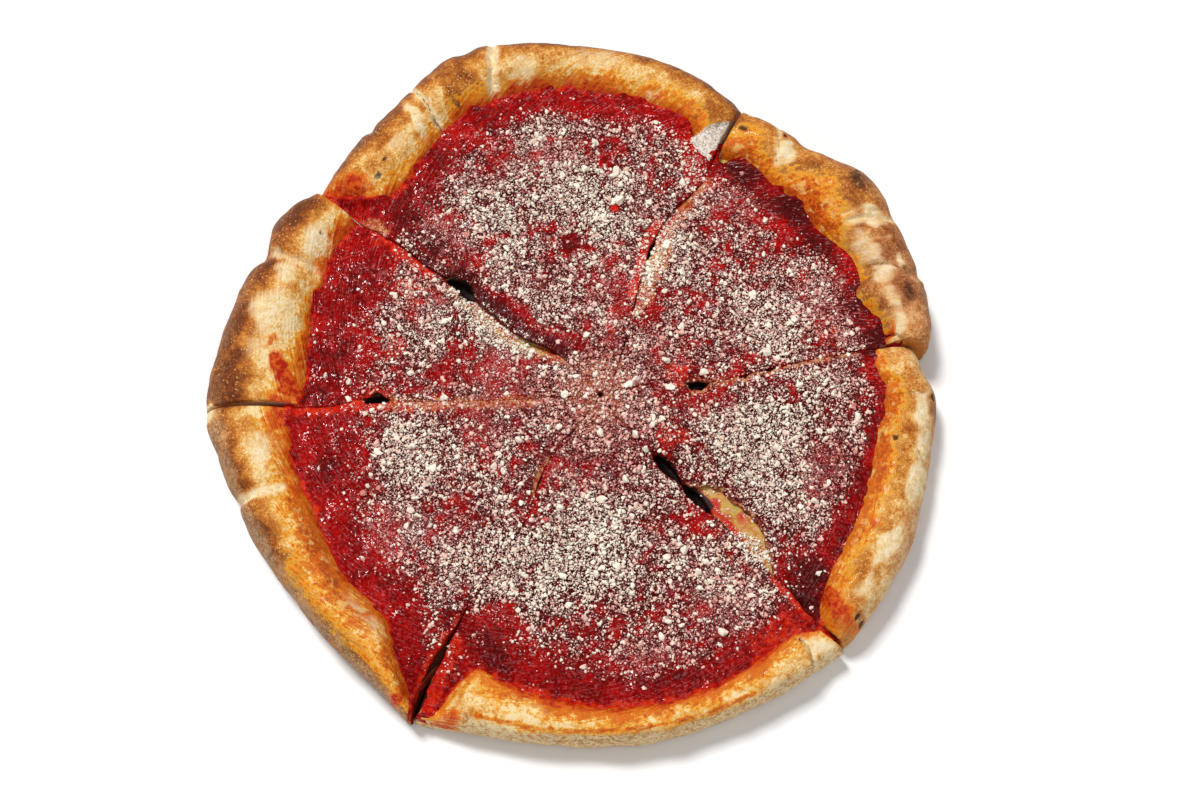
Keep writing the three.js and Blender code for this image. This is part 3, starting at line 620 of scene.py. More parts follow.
def crust_sheets(number):
    """Lower and upper sheets of a slice's crust, and the masks of its finish over the upper sheet."""
    width_round = slice_width(number, RIM_REFERENCE_RADIUS)
    share = np.linspace(0, 1, int(width_round / CRUST_PITCH) + 1)
    lower, upper, inner = crust_form(number, share)

    # How far over the rim each row lies: 0 at the sauce, 1 at the foot.
    rows = upper.shape[1]
    first = len(HIDDEN_ROWS) + SECTION_SAMPLES[0]
    over = np.clip((np.arange(rows) - first) / (rows - 1 - first), 0, 1)
    over = np.broadcast_to(over, upper.shape[:2])
    angle, distance = polar(upper)
    away = np.minimum(share, 1 - share)[:, None] * width_round
    showing = smoothstep(np.arange(rows), first - 4, first + 6)[None, :]
    grounded = smoothstep(upper[..., 2], 0.5, 6)
    normal = sheet_normals(upper)

    relief = np.zeros(angle.shape)
    for k, (wavelength, height) in enumerate(DOUGH_LUMPS):
        calm = lerp(CUT_CALM, 1, smoothstep(away, 0, min(wavelength, 8) * 0.5))
        relief += height * noise(upper, wavelength, 10 * number + k) * calm
    relief -= RELIEF_SUNK
    flat = upper[..., :2]
    shifts = [2.4 * noise(flat, 7, 11 + k) + 1.2 * noise(flat, 2.8, 13 + k) for k in range(2)]
    warped = polar(flat + np.stack(shifts, -1))
    pale = spots(PALE, *warped)
    # Painted shade, darkening the bottoms of the creases.
    dark = np.zeros(angle.shape)
    for n, path, half, depth, paleness, bottom_shade in CREASES:
        if n != number:
            continue
        wander = 0.5 * noise(flat, 3.5, n) + 0.3 * noise(flat, 1.6, n + 7)
        gap = line_distance(path, flat + wander[..., None])
        relief -= depth * bell(gap, half)
        pale = np.maximum(pale, paleness * bell(gap, 2 * half))
        dark = np.maximum(dark, bottom_shade * bell(gap, max(0.5 * half, 0.75)))
    torn = inside(TORN, flat, 0.7) * (number == 1)
    pores = np.maximum(noise(flat, 2.2, 91), 0) + 0.6 * np.maximum(noise(flat, 1.2, 92), 0)
    level = sauce_level(number, angle, distance) + TORN_OVER_SAUCE
    upper[..., 2] = lerp(upper[..., 2], np.maximum(upper[..., 2], level), torn)
    relief -= torn * (TORN_DEPTH + PORE_DEPTH * pores)
    charred = spots(CHARRED, angle, distance)
    relief -= CHAR_DEPTH * charred * (charred > 0.7)
    upper = upper + normal * (relief * showing * grounded)[..., None]

    oiled, fringe = oil_and_fringe(angle, distance, flat, inner)
    facing_up = smoothstep(0.8 - over, 0, 0.1)
    browned = along(BROWNED_OVER[number], over)
    browned = np.maximum(browned, spots(BROWNED, *warped) * np.where(over < 0.75, 1, 0.5))
    browned = browned + 0.14 * noise(upper, 12, 21) + 0.14 * noise(upper, 5, 22)
    masks = {
        "around": arc(angle, distance),
        "across": distance,
        "rosy": spots(ROSY, angle, distance),
        "browned": browned * (1 - 0.8 * pale),
        "pale": pale,
        "oiled": oiled * (1 - 0.5 * pale) * (over < 0.72),
        # Real char spots, with the painted shade of the crease bottoms.
        "charred": np.maximum(charred * smoothstep(0.76 - over, 0, 0.1), dark),
        "stained": np.maximum(spots(RED_STAINS, *warped) * facing_up, fringe),
        "floured": FLOURED[number] * smoothstep(over + 0.05 * noise(upper, 8, 31), 0.44, 0.56),
        "crumb": torn,
    }
    return lower, upper, masks


def make_crust(number, finish):
    lower, upper, masks = crust_sheets(number)
    data, i, j, layer, points = wrapped(lower, upper, CRUST_LAYERS)
    top, sides = layer > 0.99, (layer > 0.01) & (layer < 0.99)
    cut_faces = sides & ((i == 0) | (i == i.max()))
    points = bulged(points, i, (np.abs(layered(points, CRUMBLING, 61)) - FACE_INSET) * cut_faces)

    # Low down the base isn't cut right through, so its two sides meet under the filling.
    distance = polar(points)[1]
    cuts = SLICES[number]["cuts"]
    at_start = i < lower.shape[0] / 2
    parts, shaded_to = (np.where(at_start, *(BASE_PARTS[cut][k] for cut in cuts)) for k in range(2))
    low_down = 1 - smoothstep(points[:, 2], *BASE_HEIGHT)
    uncut = low_down * (1 - smoothstep(distance, parts - BASE_PARTING, parts))
    # Painted shade: low in each gap the base and the cut faces are darkened, nearly to black, out to
    # shaded_to.
    in_shade = low_down * (1 - smoothstep(distance, shaded_to - BASE_PARTING, shaded_to))
    reddened = np.where(at_start, *(GAPS_REDDENED.get(cut, 0) for cut in cuts))
    in_gap = sides | (j < len(HIDDEN_ROWS) + 2) & top
    gaps = np.where(at_start, *(cut_gap(cut, distance) for cut in cuts))
    points = bulged(points, i, uncut * (gaps / 2 - BASE_SEAM))
    low, high = np.array(cad_box[0]) / MM, np.array(cad_box[1]) / MM
    set_coordinates(data, np.clip(points, low, high))

    crumby, red = (np.where(i == 0, *table[number]) * cut_faces for table in (FACES_CRUMBY, FACES_STAINED))
    in_cuts = {
        "crumb": crumby,
        "stained": np.maximum(red, 1.2 * in_shade * reddened * in_gap),
        # Painted shade in the gap, and on faces stained above 1.
        "charred": np.maximum(2 * in_shade * (1 - 0.6 * reddened) * in_gap, 0.38 * red * (red > 1)),
    }
    for name, values in masks.items():
        here = values[i, j]
        if name == "browned":
            here = np.where(top, here, FACES_BROWNED)
        elif name not in ("around", "across"):
            here = np.maximum(here * top, in_cuts.get(name, 0))
        set_attribute(data, name, here)
    return add_piece(f"baked_crust_{number}", data, finish, "crust", f"crust_{number}")


# ---- Melted cheese and tomato sauce --------------------------------------------------------------

CHEESE_PITCH = 1.6
CHEESE_LAYERS = 4
CHEESE_SHORT_OF_RIM = 2.0
CHEESE_SUNK = 0.3  # how far the cheese reaches down into the dough
LEAST_CHEESE = 0.8
SAUCE_PITCH = 1.1
SAUCE_LAYERS = 3
SAUCE_SHORT_OF_OUTSIDE = 1.0
SAUCE_UNDERSIDE = 0.2  # over the level of the cheese
LEAST_SAUCE = 1.0
LEAST_LEDGE = 0.8  # narrower ledges have no ragged edge
FILLING_REFERENCE_RADIUS = 120.0
PLACE_FADE = 6  # over how far out a place beside a cut begins and ends
SAUCE_SPILL = 6.0  # how far the sauce's sheet runs on over the crust, to dive under it at a ragged edge
SAUCE_FILM = 0.7  # its height over the crust beside the rim
SAUCE_SUNK = -0.8  # and past its ragged edge
SAUCE_DIVE = 2.0
PROBED_BAND = 5  # how far in from the rim the crust's height is read
PROBE_INSET = 1.0  # how far from a cut the crust's height is read
SAUCE_LUMPS = [[13, 0.35], [6.5, 0.3], [3.2, 0.2]]
SAUCE_RIDGES = [[7.5, 0.5], [3.4, 0.35]]
# Where sauce has run out over the rim beside a cut: slice, angle, half width in degrees, reach.
SAUCE_RUNS = [
    [4, 241.6, 1.9, 9], [5, 240.2, 1.3, 8], [1, 142.4, 2.1, 10], [1, 138.4, 2.4, 2.5], [6, 181.2, 3.0, 2.5],
    [1, 68.8, 3.4, -7.5], [2, 62.6, 2.4, -7], [5, 183, 4.0, 4], [3, -46.5, 1.6, 4], [4, 311.5, 2.2, 3],
]
# Bright thin edges along the cuts: slice, which of its cuts, from, to, strength, and the width of some.
BRIGHT_LIPS = [
    [5, 0, 60, 138, 1.1, 8], [1, 1, 118, 150, 0.9], [1, 0, 42, 86, 1.5, 6], [6, 0, 84, 126, 1.0, 8],
    [6, 1, 84, 104, 0.8, 5], [4, 0, 110, 150, 1.1, 12], [5, 1, 104, 150, 0.9, 4], [4, 1, 98, 128, 1.0],
    [2, 1, 96, 116, 0.5], [3, 0, 40, 60, 0.4],
]
# Bright sauce: [angle, distance, half length round, half width across, strength].
BRIGHT_SAUCE = [
    [306, 121, 15, 9, 0.8], [81, 33, 5, 10, 0.7], [166, 88, 7, 10, 0.6], [330, 34, 8, 12, 0.6],
    [85.8, 84.8, 1.9, 1.5, 1.3], [18, 34, 9, 7, 0.7], [16, 99, 9, 7, 0.6], [150, 92, 6, 12, 0.7],
    [205, 58, 10, 10, 0.4],
]
# Dark edges that another slice shades, in the form of BRIGHT_LIPS.
DARK_LIPS = [[1, 1, 14, 112, 1.0, 8], [3, 0, 36, 70, 0.7], [2, 0, 30, 50, 0.7], [5, 1, 24, 60, 0.6],
             [3, 0, 106, 128, 1.0, 10]]
# How bright the sauce's edge is beside the rim: angle, strength.
BRIGHT_RIM = [
    [-47, 0.5], [-30, 0.5], [-10, 0.35], [8, 0.25], [25, 0.1], [52, 0.1], [64, 0.3], [66, 0.4], [80, 0.75],
    [100, 0.85], [125, 0.6], [141, 0.9], [160, 0.75], [185, 0.95], [200, 0.8], [225, 0.75], [240, 0.8],
    [255, 1.0], [285, 1.0], [305, 1.0], [313, 1.0],
]
# Painted shade on the sauce: [angle, distance, half length round, half width across, strength].
SHADED_SAUCE = [[170, 112, 14, 9, 0.4], [54, 112, 14, 8, 0.6], [24, 110, 14, 6, 0.5], [99.3, 68.8, 7, 5, 0.7],
              [58, 119, 8, 6, 0.9], [46, 116, 12, 6, 0.95], [34, 114, 10, 6, 0.8], [20, 116, 10, 6, 0.9],
              [12, 116, 8, 7, 0.9], [-42, 113, 8, 10, 0.9], [-33, 116, 8, 4, 0.5], [136, 100, 8, 22, 0.7],
              [128, 112, 8, 8, 0.4], [152, 112, 10, 9, 0.3], [196, 112, 9, 10, 0.3], [236, 108, 8, 14, 0.4],
              [248, 110, 12, 8, 0.3], [281, 116, 14, 5, 0.4], [110, 122, 14, 6, 0.2], [225, 112, 10, 7, 0.2]]
# Where the sauce is scraped thin over the cheese beside a cut, in the form of BRIGHT_LIPS.
SCRAPED = [[2, 1, 34, 112, 0.9, 8], [6, 0, 16, 86, 0.8, 7], [3, 0, 46, 106, 0.6, 3], [5, 0, 16, 92, 0.8, 8],
           [6, 1, 16, 92, 0.6, 5], [3, 1, 30, 112, 0.7, 5], [2, 0, 30, 60, 0.5, 4], [1, 1, 112, 132, 1.0, 8],
           [5, 1, 30, 54, 0.8, 4]]
SCRAPED_MIDDLE = (8, 30, 0.62)  # wholly within, no longer beyond, strength
# Where the cheese of a ledge has swollen, in the form of BRIGHT_LIPS, and by how much.
SWOLLEN = [[2, 1, 36, 104, 1.0, 8], [6, 0, 20, 84, 1.0, 7]]
SWELLING = 1.8
CHEESE_LUMPS = [[9, 0.5], [4, 0.35], [2, 0.15]]
# Spots: [angle, distance, half length round, half width across, strength].
SAUCE_ON_CHEESE = [
    [-44.8, 64.6, 3.6, 3.2, 1.5], [-41.5, 76, 3, 2, 0.9], [-48, 92, 6, 4, 0.9], [69, 66, 4, 20, 0.5],
    [144.5, 50, 4, 22, 0.4],
]


def surface_of(piece):
    return BVHTree.FromObject(piece, bpy.context.evaluated_depsgraph_get())


def height_on(tree, x, y):
    """Height in millimetres of a piece's surface under a plan point, or None."""
    hit = tree.ray_cast(Vector((x * MM, y * MM, 0.05)), Vector((0, 0, -1)))[0]
    return None if hit is None else hit.z / MM


def filling_rows(pitch, reach):
    """Distances out over each column, from the tip to the reach."""
    steps = np.linspace(0, 1, int(np.max(reach) / pitch) + 1)[None, :]
    return lerp(TIP_RADIUS, reach[:, None], steps)


def filling_columns(number, pitch):
    """Shares of the way round a slice, about a pitch apart."""
    return np.linspace(0, 1, int(slice_width(number, FILLING_REFERENCE_RADIUS) / pitch) + 1)


def open_widths(number, distance):
    """How wide the two cuts beside a slice stand open in its sauce and cheese."""
    return np.stack([cut_gap(cut, distance, CLOSED) for cut in SLICES[number]["cuts"]])


def make_cheese(number, finish):
    share = filling_columns(number, CHEESE_PITCH)
    outer, width, _, _ = rim_at(number, share)
    distance = filling_rows(CHEESE_PITCH, outer - width - CHEESE_SHORT_OF_RIM)
    shares = np.broadcast_to(share[:, None], distance.shape)
    angle = slice_angle(number, shares, distance, closed=CLOSED)
    flat = plan(angle, distance)
    top = CHEESE_TOP - CHEESE_SLUMP * slump(number, angle, distance)
    top = top + layered(flat, CHEESE_LUMPS, 40) - 0.3
    sides = np.stack(edge_distances(number, angle, distance))
    top = top + SWELLING * beside_cuts(SWOLLEN, number, distance, sides, 4)
    widths = open_widths(number, distance)
    crumbled = 0.5 * noise(flat, 2.6, 57) * smoothstep(widths.max(0), 1.0, 2.6)
    upper = raised(flat, np.maximum(top, DOUGH_TOP + LEAST_CHEESE))
    lower = raised(flat, np.full_like(distance, DOUGH_TOP - CHEESE_SUNK))
    data, i, j, layer, points = wrapped(lower, upper, CHEESE_LAYERS)
    opened = smoothstep(widths.max(0), 0.3, 1.5)[i, j]
    sag = (0.35 * np.sin(math.pi * layer) + 0.35 * noise(points, 4, 51)) * opened + crumbled[i, j]
    set_coordinates(data, bulged(points, i, sag))

    at_edge = 1 - smoothstep(sides.min(0), 0.5, 3)
    oiled = 0.3 + 0.5 * noise(upper, 7, 52) + 0.3 * noise(upper, 3, 53) + 0.4 * at_edge
    oiled = np.maximum(oiled, spots(SAUCE_ON_CHEESE, angle, distance))
    reddened = np.minimum(beside_cuts(BRIGHT_LIPS, number, distance, sides, 1, 6) * (distance > 100), 1)
    set_attribute(data, "oiled", np.clip(np.maximum(oiled, 1.5 * reddened), 0, 1.5)[i, j])
    # Painted shade, nearly black, low on the sides and beside open cuts.
    holed = smoothstep(widths, 1.6, 3.0)
    beside_holes = (holed * (1 - smoothstep(sides, 0.3, 1.8))).max(0)
    set_attribute(data, "sunken", np.maximum(1 - layer, beside_holes[i, j]) * (1 - reddened[i, j]))
    return add_piece(f"melted_cheese_{number}", data, finish, "melted_cheese", f"cheese_{number}")


def beside_cuts(places, number, distance, beside, near, far=None):
    """How strong places beside the cuts are over a slice. They fade from near to far away from the cut, or
    to the place's own width."""
    strongest = np.zeros(distance.shape)
    for n, side, first, last, strength, *width in places:
        if n == number:
            reached = smoothstep(distance, first, first + PLACE_FADE)
            reached = reached * (1 - smoothstep(distance, last - PLACE_FADE, last))
            reached = reached * (1 - smoothstep(beside[side], near, width[0] if width else far))
            strongest = np.maximum(strongest, strength * reached)
    return strongest


def sauce_masks(number, flat, edge, beside):
    """Where the sauce is thin, darkened by painted shade, scraped, or dusted, where painted glare gathers
    too, with how far round and out each point lies.
    """
    angle, distance = polar(flat)
    thin = smoothstep(distance, edge - 5.0, edge + 0.5) * round_rim(BRIGHT_RIM, angle)
    thin = np.maximum(thin, beside_cuts(BRIGHT_LIPS, number, distance, beside, 0.5, 5))
    thin = np.maximum(thin, spots(BRIGHT_SAUCE, angle, distance))
    heaped = cover(flat, beside.min(0), edge - distance, 1.0)
    # Painted shade: darker sauce between heaped grains, in shaded spots beside the rim and under raised edges
    # of other slices.
    dark = np.maximum(spots(SHADED_SAUCE, angle, distance), smoothstep(heaped, 0.2, 0.65))
    dark = np.maximum(dark, beside_cuts(DARK_LIPS, number, distance, beside, 2, 6))
    near, far, strength = SCRAPED_MIDDLE
    scraped = strength * (1 - smoothstep(distance, near, far))
    scraped = np.maximum(scraped, beside_cuts(SCRAPED, number, distance, beside, 0.3))
    # Grated cheese dust, which also sets where painted glare shows.
    dusted = np.maximum(spots(HAZED, angle, distance), 0.3 * heaped)
    return dict(thin=thin, dark=dark, scraped=scraped, dusted=dusted,
                around=arc(angle, distance), across=distance)


def make_sauce(number, finish, crust_surface):
    share = filling_columns(number, SAUCE_PITCH)
    outer, width, _, rim_angle = rim_at(number, share)
    inner = (outer - width)[:, None]
    uneven = 1 + 0.35 * noise(plan(rim_angle, outer), 3.5, 83)
    run = sum(uneven * reach * bell(rim_angle - at, half)
              for n, at, half, reach in SAUCE_RUNS if n == number) + np.zeros_like(outer)
    reach = np.minimum(outer - width + SAUCE_SPILL + run, outer - SAUCE_SHORT_OF_OUTSIDE)
    distance = filling_rows(SAUCE_PITCH, reach)
    shares = np.broadcast_to(share[:, None], distance.shape)
    ledges = np.stack([along(s, distance) for s in SLICES[number]["ledges"]])
    on_ledge = ledges > LEAST_LEDGE
    rays = [plan(np.full_like(distance, 60.0 * k), distance) for k in range(2)]
    ragged = 1.5 * noise(rays[0], 6, number) + 0.9 * noise(rays[0], 2.5, 9)
    widths = open_widths(number, distance)
    wide = smoothstep(widths, 0.8, 2.4)
    torn = [1.5 * noise(ray, 3.4, number) + 1.0 * noise(ray, 1.7, number + 9) for ray in rays]
    insets = ledges + ragged * on_ledge + np.maximum(torn, 0) * (0.15 + 0.85 * wide)
    angle = slice_angle(number, shares, distance, *insets, closed=CLOSED)
    flat = plan(angle, distance)
    width_round = slice_width(number, distance)
    beside = np.stack([shares, 1 - shares]) * width_round
    opened = np.maximum(smoothstep(widths, 0.3, 1.6), on_ledge)
    lips = (0.2 + 0.8 * opened) * (1 - smoothstep(beside, 0, 2 + (SAUCE_LIP_WIDTH - 2) * opened))
    lip = lips.max(0)
    lumps = layered(flat, SAUCE_LUMPS, 70)
    lumps = lumps - sum(h * (np.abs(noise(flat, w, 75 + k)) - 0.3) for k, (w, h) in enumerate(SAUCE_RIDGES))
    top = sauce_level(number, angle, distance) - SAUCE_LIP * lip**2 + lumps * (1 - 0.4 * lip)

    # Beside the rim the sauce climbs the crust in a thin film and ends in a ragged edge.
    edge = inner + 1.3 * noise(flat, 8, 81) + 1.0 * noise(flat, 3.2, 82) + 0.4 + run[:, None]
    film = lerp(SAUCE_FILM, SAUCE_SUNK, smoothstep(distance, edge - 2.2, edge + 0.8))
    inset = PROBE_INSET / width_round
    probes = plan(slice_angle(number, np.clip(shares, inset, 1 - inset), distance), distance)
    for i, j in zip(*np.nonzero(distance > inner - PROBED_BAND)):
        under = height_on(crust_surface, *probes[i, j])
        if under is not None and under > DOUGH_TOP - 1:
            climbing = under + film[i, j]
            top[i, j] = climbing if distance[i, j] > edge[i, j] + 1.5 else max(top[i, j] - 0.15, climbing)
    top = top - SAUCE_DIVE * smoothstep(distance, edge + 0.8, edge + 3.0)
    bottom = CHEESE_TOP + SAUCE_UNDERSIDE - slump(number, angle, distance)
    bottom = np.minimum(bottom, top - LEAST_SAUCE)
    data, i, j, layer, points = wrapped(raised(flat, bottom), raised(flat, top), SAUCE_LAYERS)
    drip = (0.4 * np.sin(math.pi * layer) + 0.3 * noise(points, 3, 54)) * opened.max(0)[i, j]
    set_coordinates(data, bulged(points, i, drip))
    for name, values in sauce_masks(number, flat, edge, beside).items():
        set_attribute(data, name, values[i, j])
    return add_piece(f"tomato_sauce_{number}", data, finish, "tomato_sauce", f"sauce_{number}")


# ---- Grated cheese -------------------------------------------------------------------------------

# How wide the band beside the rim is where few grains lie: angle, width.
BARE_BAND = [
    [0, 5], [20, 13], [35, 14], [50, 19], [65, 16], [80, 13], [90, 20], [100, 17], [110, 18], [120, 16],
    [135, 27], [150, 29], [170, 29], [185, 27], [200, 26], [215, 28], [230, 24], [243, 24], [255, 23],
    [270, 22], [285, 17], [300, 16], [315, 14], [330, 12], [345, 7], [360, 5],
]
# Heaped patches: [angle, distance, half size round, half size across, strength]. The four tables after this
# one have the same form.
HEAPED = [
    [146, 48, 5, 16, 0.9], [101, 94, 22, 14, 0.55], [118, 92, 12, 12, 0.3], [122, 72, 14, 12, 0.3],
    [92, 78, 10, 22, 0.35], [37, 74, 18, 16, 0.25], [22, 78, 13, 13, 0.6], [343, 66, 14, 22, 0.6],
    [330, 82, 12, 10, 0.25], [199, 82, 18, 13, 0.55], [160, 76, 14, 10, 0.3], [212, 62, 16, 14, 0.3],
    [266, 60, 20, 24, 0.55], [240, 78, 14, 16, 0.4], [252, 86, 12, 12, 0.3], [302, 88, 10, 10, 0.35],
    [285, 70, 14, 14, 0.25], [230, 14, 16, 14, 0.15], [300, 52, 12, 12, 0.3], [180, 7, 60, 20, 0.5],
    [313.5, 89, 4, 9, 0.8], [69, 68, 4, 26, 0.5], [143, 58, 3, 22, 0.5],
]
# Where a pink haze of the finest cheese lies in the sauce.
HAZED = [
    [25, 101, 14, 14, 0.9], [102, 110, 20, 9, 0.8], [132, 97, 9, 16, 0.7], [163, 42, 20, 14, 0.8],
    [300, 98, 18, 16, 0.8], [215, 100, 16, 12, 0.7], [196, 50, 14, 10, 0.6], [250, 36, 14, 12, 0.6],
    [84, 45, 12, 20, 0.7], [338, 96, 20, 10, 0.8], [350, 50, 10, 14, 0.6], [56, 104, 14, 8, 0.7],
    [150, 80, 12, 10, 0.6], [280, 108, 16, 8, 0.6], [40, 30, 14, 12, 0.5], [10, 12, 24, 12, 0.6],
]
# Where less of it lies.
THINNED = [
    [130, 28, 4, 9, 0.8], [136, 44, 4, 11, 0.8], [137.2, 60, 4, 10, 0.8], [136.8, 74, 4, 8, 0.7],
    [48, 113, 16, 6, 0.5], [5, 32, 14, 16, 0.6], [136, 84, 8, 14, 0.5], [338, 32, 12, 12, 0.4],
    [120, 22, 14, 12, 0.3], [99.3, 68.8, 7, 5, 0.5], [85.8, 84.8, 2.0, 1.6, 1.4], [235, 42, 3, 10, 0.5],
    [80, 42, 6, 14, 0.35], [306, 62, 8, 12, 0.4], [318, 104, 12, 12, 0.5], [152, 112, 14, 12, 0.6],
    [180, 108, 14, 12, 0.6], [62, 118, 10, 10, 0.6], [243, 108, 12, 10, 0.6],
]
# Where it lies on ledges and over cuts too.
DUSTED_LEDGES = [[146, 48, 12, 34, 0.8], [313.5, 89, 5, 10, 0.9], [69, 68, 6, 28, 0.5]]
# Where the grated cheese has soaked up some red.
BLUSHED = [
    [180, 10, 60, 26, 1.5], [20, 96, 22, 20, 0.7], [40, 84, 12, 12, 0.5], [340, 98, 20, 12, 0.7],
    [160, 50, 16, 24, 0.7], [215, 88, 16, 16, 0.5], [300, 98, 16, 16, 0.7], [80, 44, 12, 20, 0.7],
    [265, 34, 30, 12, 0.6],
]
# Crumbs that stand out: angle, distance, radius.
NOTED_CRUMBS = [
    [84.7, 88.2, 2.7], [86.9, 99.6, 2.0], [86.0, 101.9, 2.1], [30.1, 31.3, 2.0], [20.6, 12.7, 2.2],
    [179.4, 14.8, 2.0], [310.8, 22.0, 1.9], [308.6, 29.6, 1.9], [13.3, 43.9, 1.8], [7.2, 29.0, 2.1],
    [331.0, 69.0, 2.2], [297.2, 73.6, 2.0], [296.3, 109.2, 2.2], [319.6, 114.3, 1.3], [283.6, 102.9, 1.8],
    [297.8, 83.7, 1.8], [176.6, 103.7, 1.7], [180.6, 103.5, 1.7], [195.1, 93.6, 1.9], [41.7, 45.7, 1.9],
    [182.3, 50.5, 1.9], [181.0, 64.1, 1.9], [93.7, 102.7, 1.9], [69.8, 102.3, 1.9], [153.1, 95.8, 1.7],
    [271.1, 43.9, 1.8], [286.1, 37.1, 1.9], [250.9, 50.1, 1.8], [219.6, 50.6, 1.8], [48.1, 104.6, 1.6],
    [332.5, 97.7, 1.9],
]
EVEN_COVER = 0.5  # the share of the sauce that is covered elsewhere
CLUMPS = [[17, 0.2], [7, 0.26], [3, 0.3]]  # wavelength, height

# The coarse crumbs of the solids: places tried on a spiral, its radius, how far off the cuts and the rim they
# keep, least and most radius, share of it that is sunk in, and how far each is moved off the spiral.
CRUMB_SPIRAL = 120
CRUMB_REACH = 122
CRUMB_MARGIN = 6
CRUMB_SIZE = [1.5, 2.3]
CRUMB_SUNK = 0.3
CRUMB_JITTER = 3
CRUMB_SEED, CRUMB_SEED_STEP = 7919, 131
GOLDEN_ANGLE = 180 * (3 - math.sqrt(5))
DRAW_FACTOR, DRAW_MODULUS = 16807, 2147483647

# Each kind of grain: how many, least and most radius, how strongly they heap, how evenly they lie, how much
# of them makes the haze.
GRAINS = {
    "grated_specks": (24800, 0.18, 0.32, 0.8, 1.0, 0.9),
    "grated_dust": (24800, 0.22, 0.42, 1.0, 0.8, 0.2),
    "grated_fine": (24800, 0.32, 0.56, 1.0, 0.9, 0.2),
    "grated_flakes": (9400, 0.44, 0.80, 1.5, 1.0, 0.1),
    "grated_lumps": (1900, 0.70, 1.10, 1.7, 1.1, 0.0),
    "grated_crumbs": (210, 1.0, 1.6, 1.2, 0.4, 0.0),
}
EIGHT_FACES = ("grated_specks", "grated_dust", "grated_fine")
FEW_FACES = {"grated_flakes": 1}  # twenty faces, while kinds that aren't named have eighty
SOLID_CRUMB_SCALE = 0.8  # how much smaller the coarse crumbs are drawn than in the solids
SCATTER_REACH = 148  # half the width of the square that grains are scattered over
GRAIN_MIDDLE = 0.55  # how far a grain's middle would lie above what is under it, in shares of its radius
HEAP_HEIGHT = 0.9
SHAPES_OF_A_KIND = 10
GRATER_FLATS = 3
FLAT_DISTANCE = (0.5, 0.8)  # from the middle, in shares of the radius
ROUGHENED = (-0.3, 0.22)
GRAIN_LENGTH, GRAIN_WIDTH, GRAIN_HEIGHT = 1.1, (0.7, 1.0), (0.55, 0.9)
GRAIN_TONE = (0.36, 0.24)  # mean and spread, where 0 is pink and 1 is cream


def make_draw(seed):
    """The Park-Miller generator that places the coarse crumbs of the solids."""
    state = seed
    while True:
        state = state * DRAW_FACTOR % DRAW_MODULUS
        yield state / DRAW_MODULUS


def slice_of(points):
    """For plan points: the slice each lies in or 0, and its distance from the cuts and from the sauce's
    outer edge."""
    angle, distance = polar(points)
    distance = np.maximum(distance, TIP_RADIUS)
    number = np.zeros(angle.shape, int)
    beside, within = np.zeros(angle.shape), np.zeros(angle.shape)
    for n, piece in SLICES.items():
        start, end = edges(n, distance, CLOSED)
        here = start + (angle - start) % 360
        held = here < end
        from_start, from_end = edge_distances(n, here, distance)
        bare_start, bare_end = (along(s, distance) for s in piece["ledges"])
        outer, width, _, _ = rim_at(n, np.clip((here - start) / (end - start), 0, 1))
        number = np.where(held, n, number)
        beside = np.where(held, np.minimum(from_start - bare_start, from_end - bare_end), beside)
        within = np.where(held, outer - width - distance, within)
    return number, beside, within


def cover(points, beside, within, heaping):
    """The share of the sauce that grated cheese hides, from 0 to 1."""
    angle, distance = polar(points)
    bare = along(BARE_BAND, angle)
    patches = EVEN_COVER + heaping * spots(HEAPED, angle, distance) - spots(THINNED, angle, distance)
    ring = smoothstep(within, 0.4 * bare, 1.15 * bare)
    beside_cut = 0.35 + 0.65 * smoothstep(beside, -1, 1)
    beside_cut = np.where(spots(DUSTED_LEDGES, angle, distance) > 0.3, 1, beside_cut)
    cheese = (patches + layered(points, CLUMPS, 101)) * ring * beside_cut
    return np.clip(cheese + 0.01 * (within > 1.5), 0, 1)


def grain_places(count, heaping, evenness, hazing, random):
    """Plan points for so many grains, drawn by how much cheese lies where."""
    kept = np.empty((0, 2))
    while len(kept) < count:
        points = CUTS_MEET + random.uniform(-SCATTER_REACH, SCATTER_REACH, (6 * count, 2))
        number, beside, within = slice_of(points)
        chance = cover(points, beside, within, heaping) ** (2 - evenness)
        chance = chance + hazing * spots(HAZED, *polar(points))
        kept = np.concatenate([kept, points[(number > 0) & (random.random(len(points)) < chance)]])
    return kept[:count]


def crumb_places():
    """The coarse crumbs of the solids: plan points and radii."""
    places = []
    for i in range(CRUMB_SPIRAL):
        draw = make_draw(CRUMB_SEED + CRUMB_SEED_STEP * i)
        distance = CRUMB_REACH * math.sqrt((i + 0.5) / CRUMB_SPIRAL) + CRUMB_JITTER * (next(draw) - 0.5)
        angle = (i * GOLDEN_ANGLE) % 360 + math.degrees(CRUMB_JITTER * (next(draw) - 0.5) / distance)
        point = plan(np.array(angle), np.array(distance))
        number, beside, within = (v[0] for v in slice_of(point[None]))
        if number == 0 or min(beside, within) < CRUMB_MARGIN:
            continue
        start = edges(number, np.array(distance))[0]
        if slump(number, start + (angle - start) % 360, np.array(distance)) > 0:
            continue
        places.append([*point, lerp(*CRUMB_SIZE, next(draw))])
    return np.array(places)


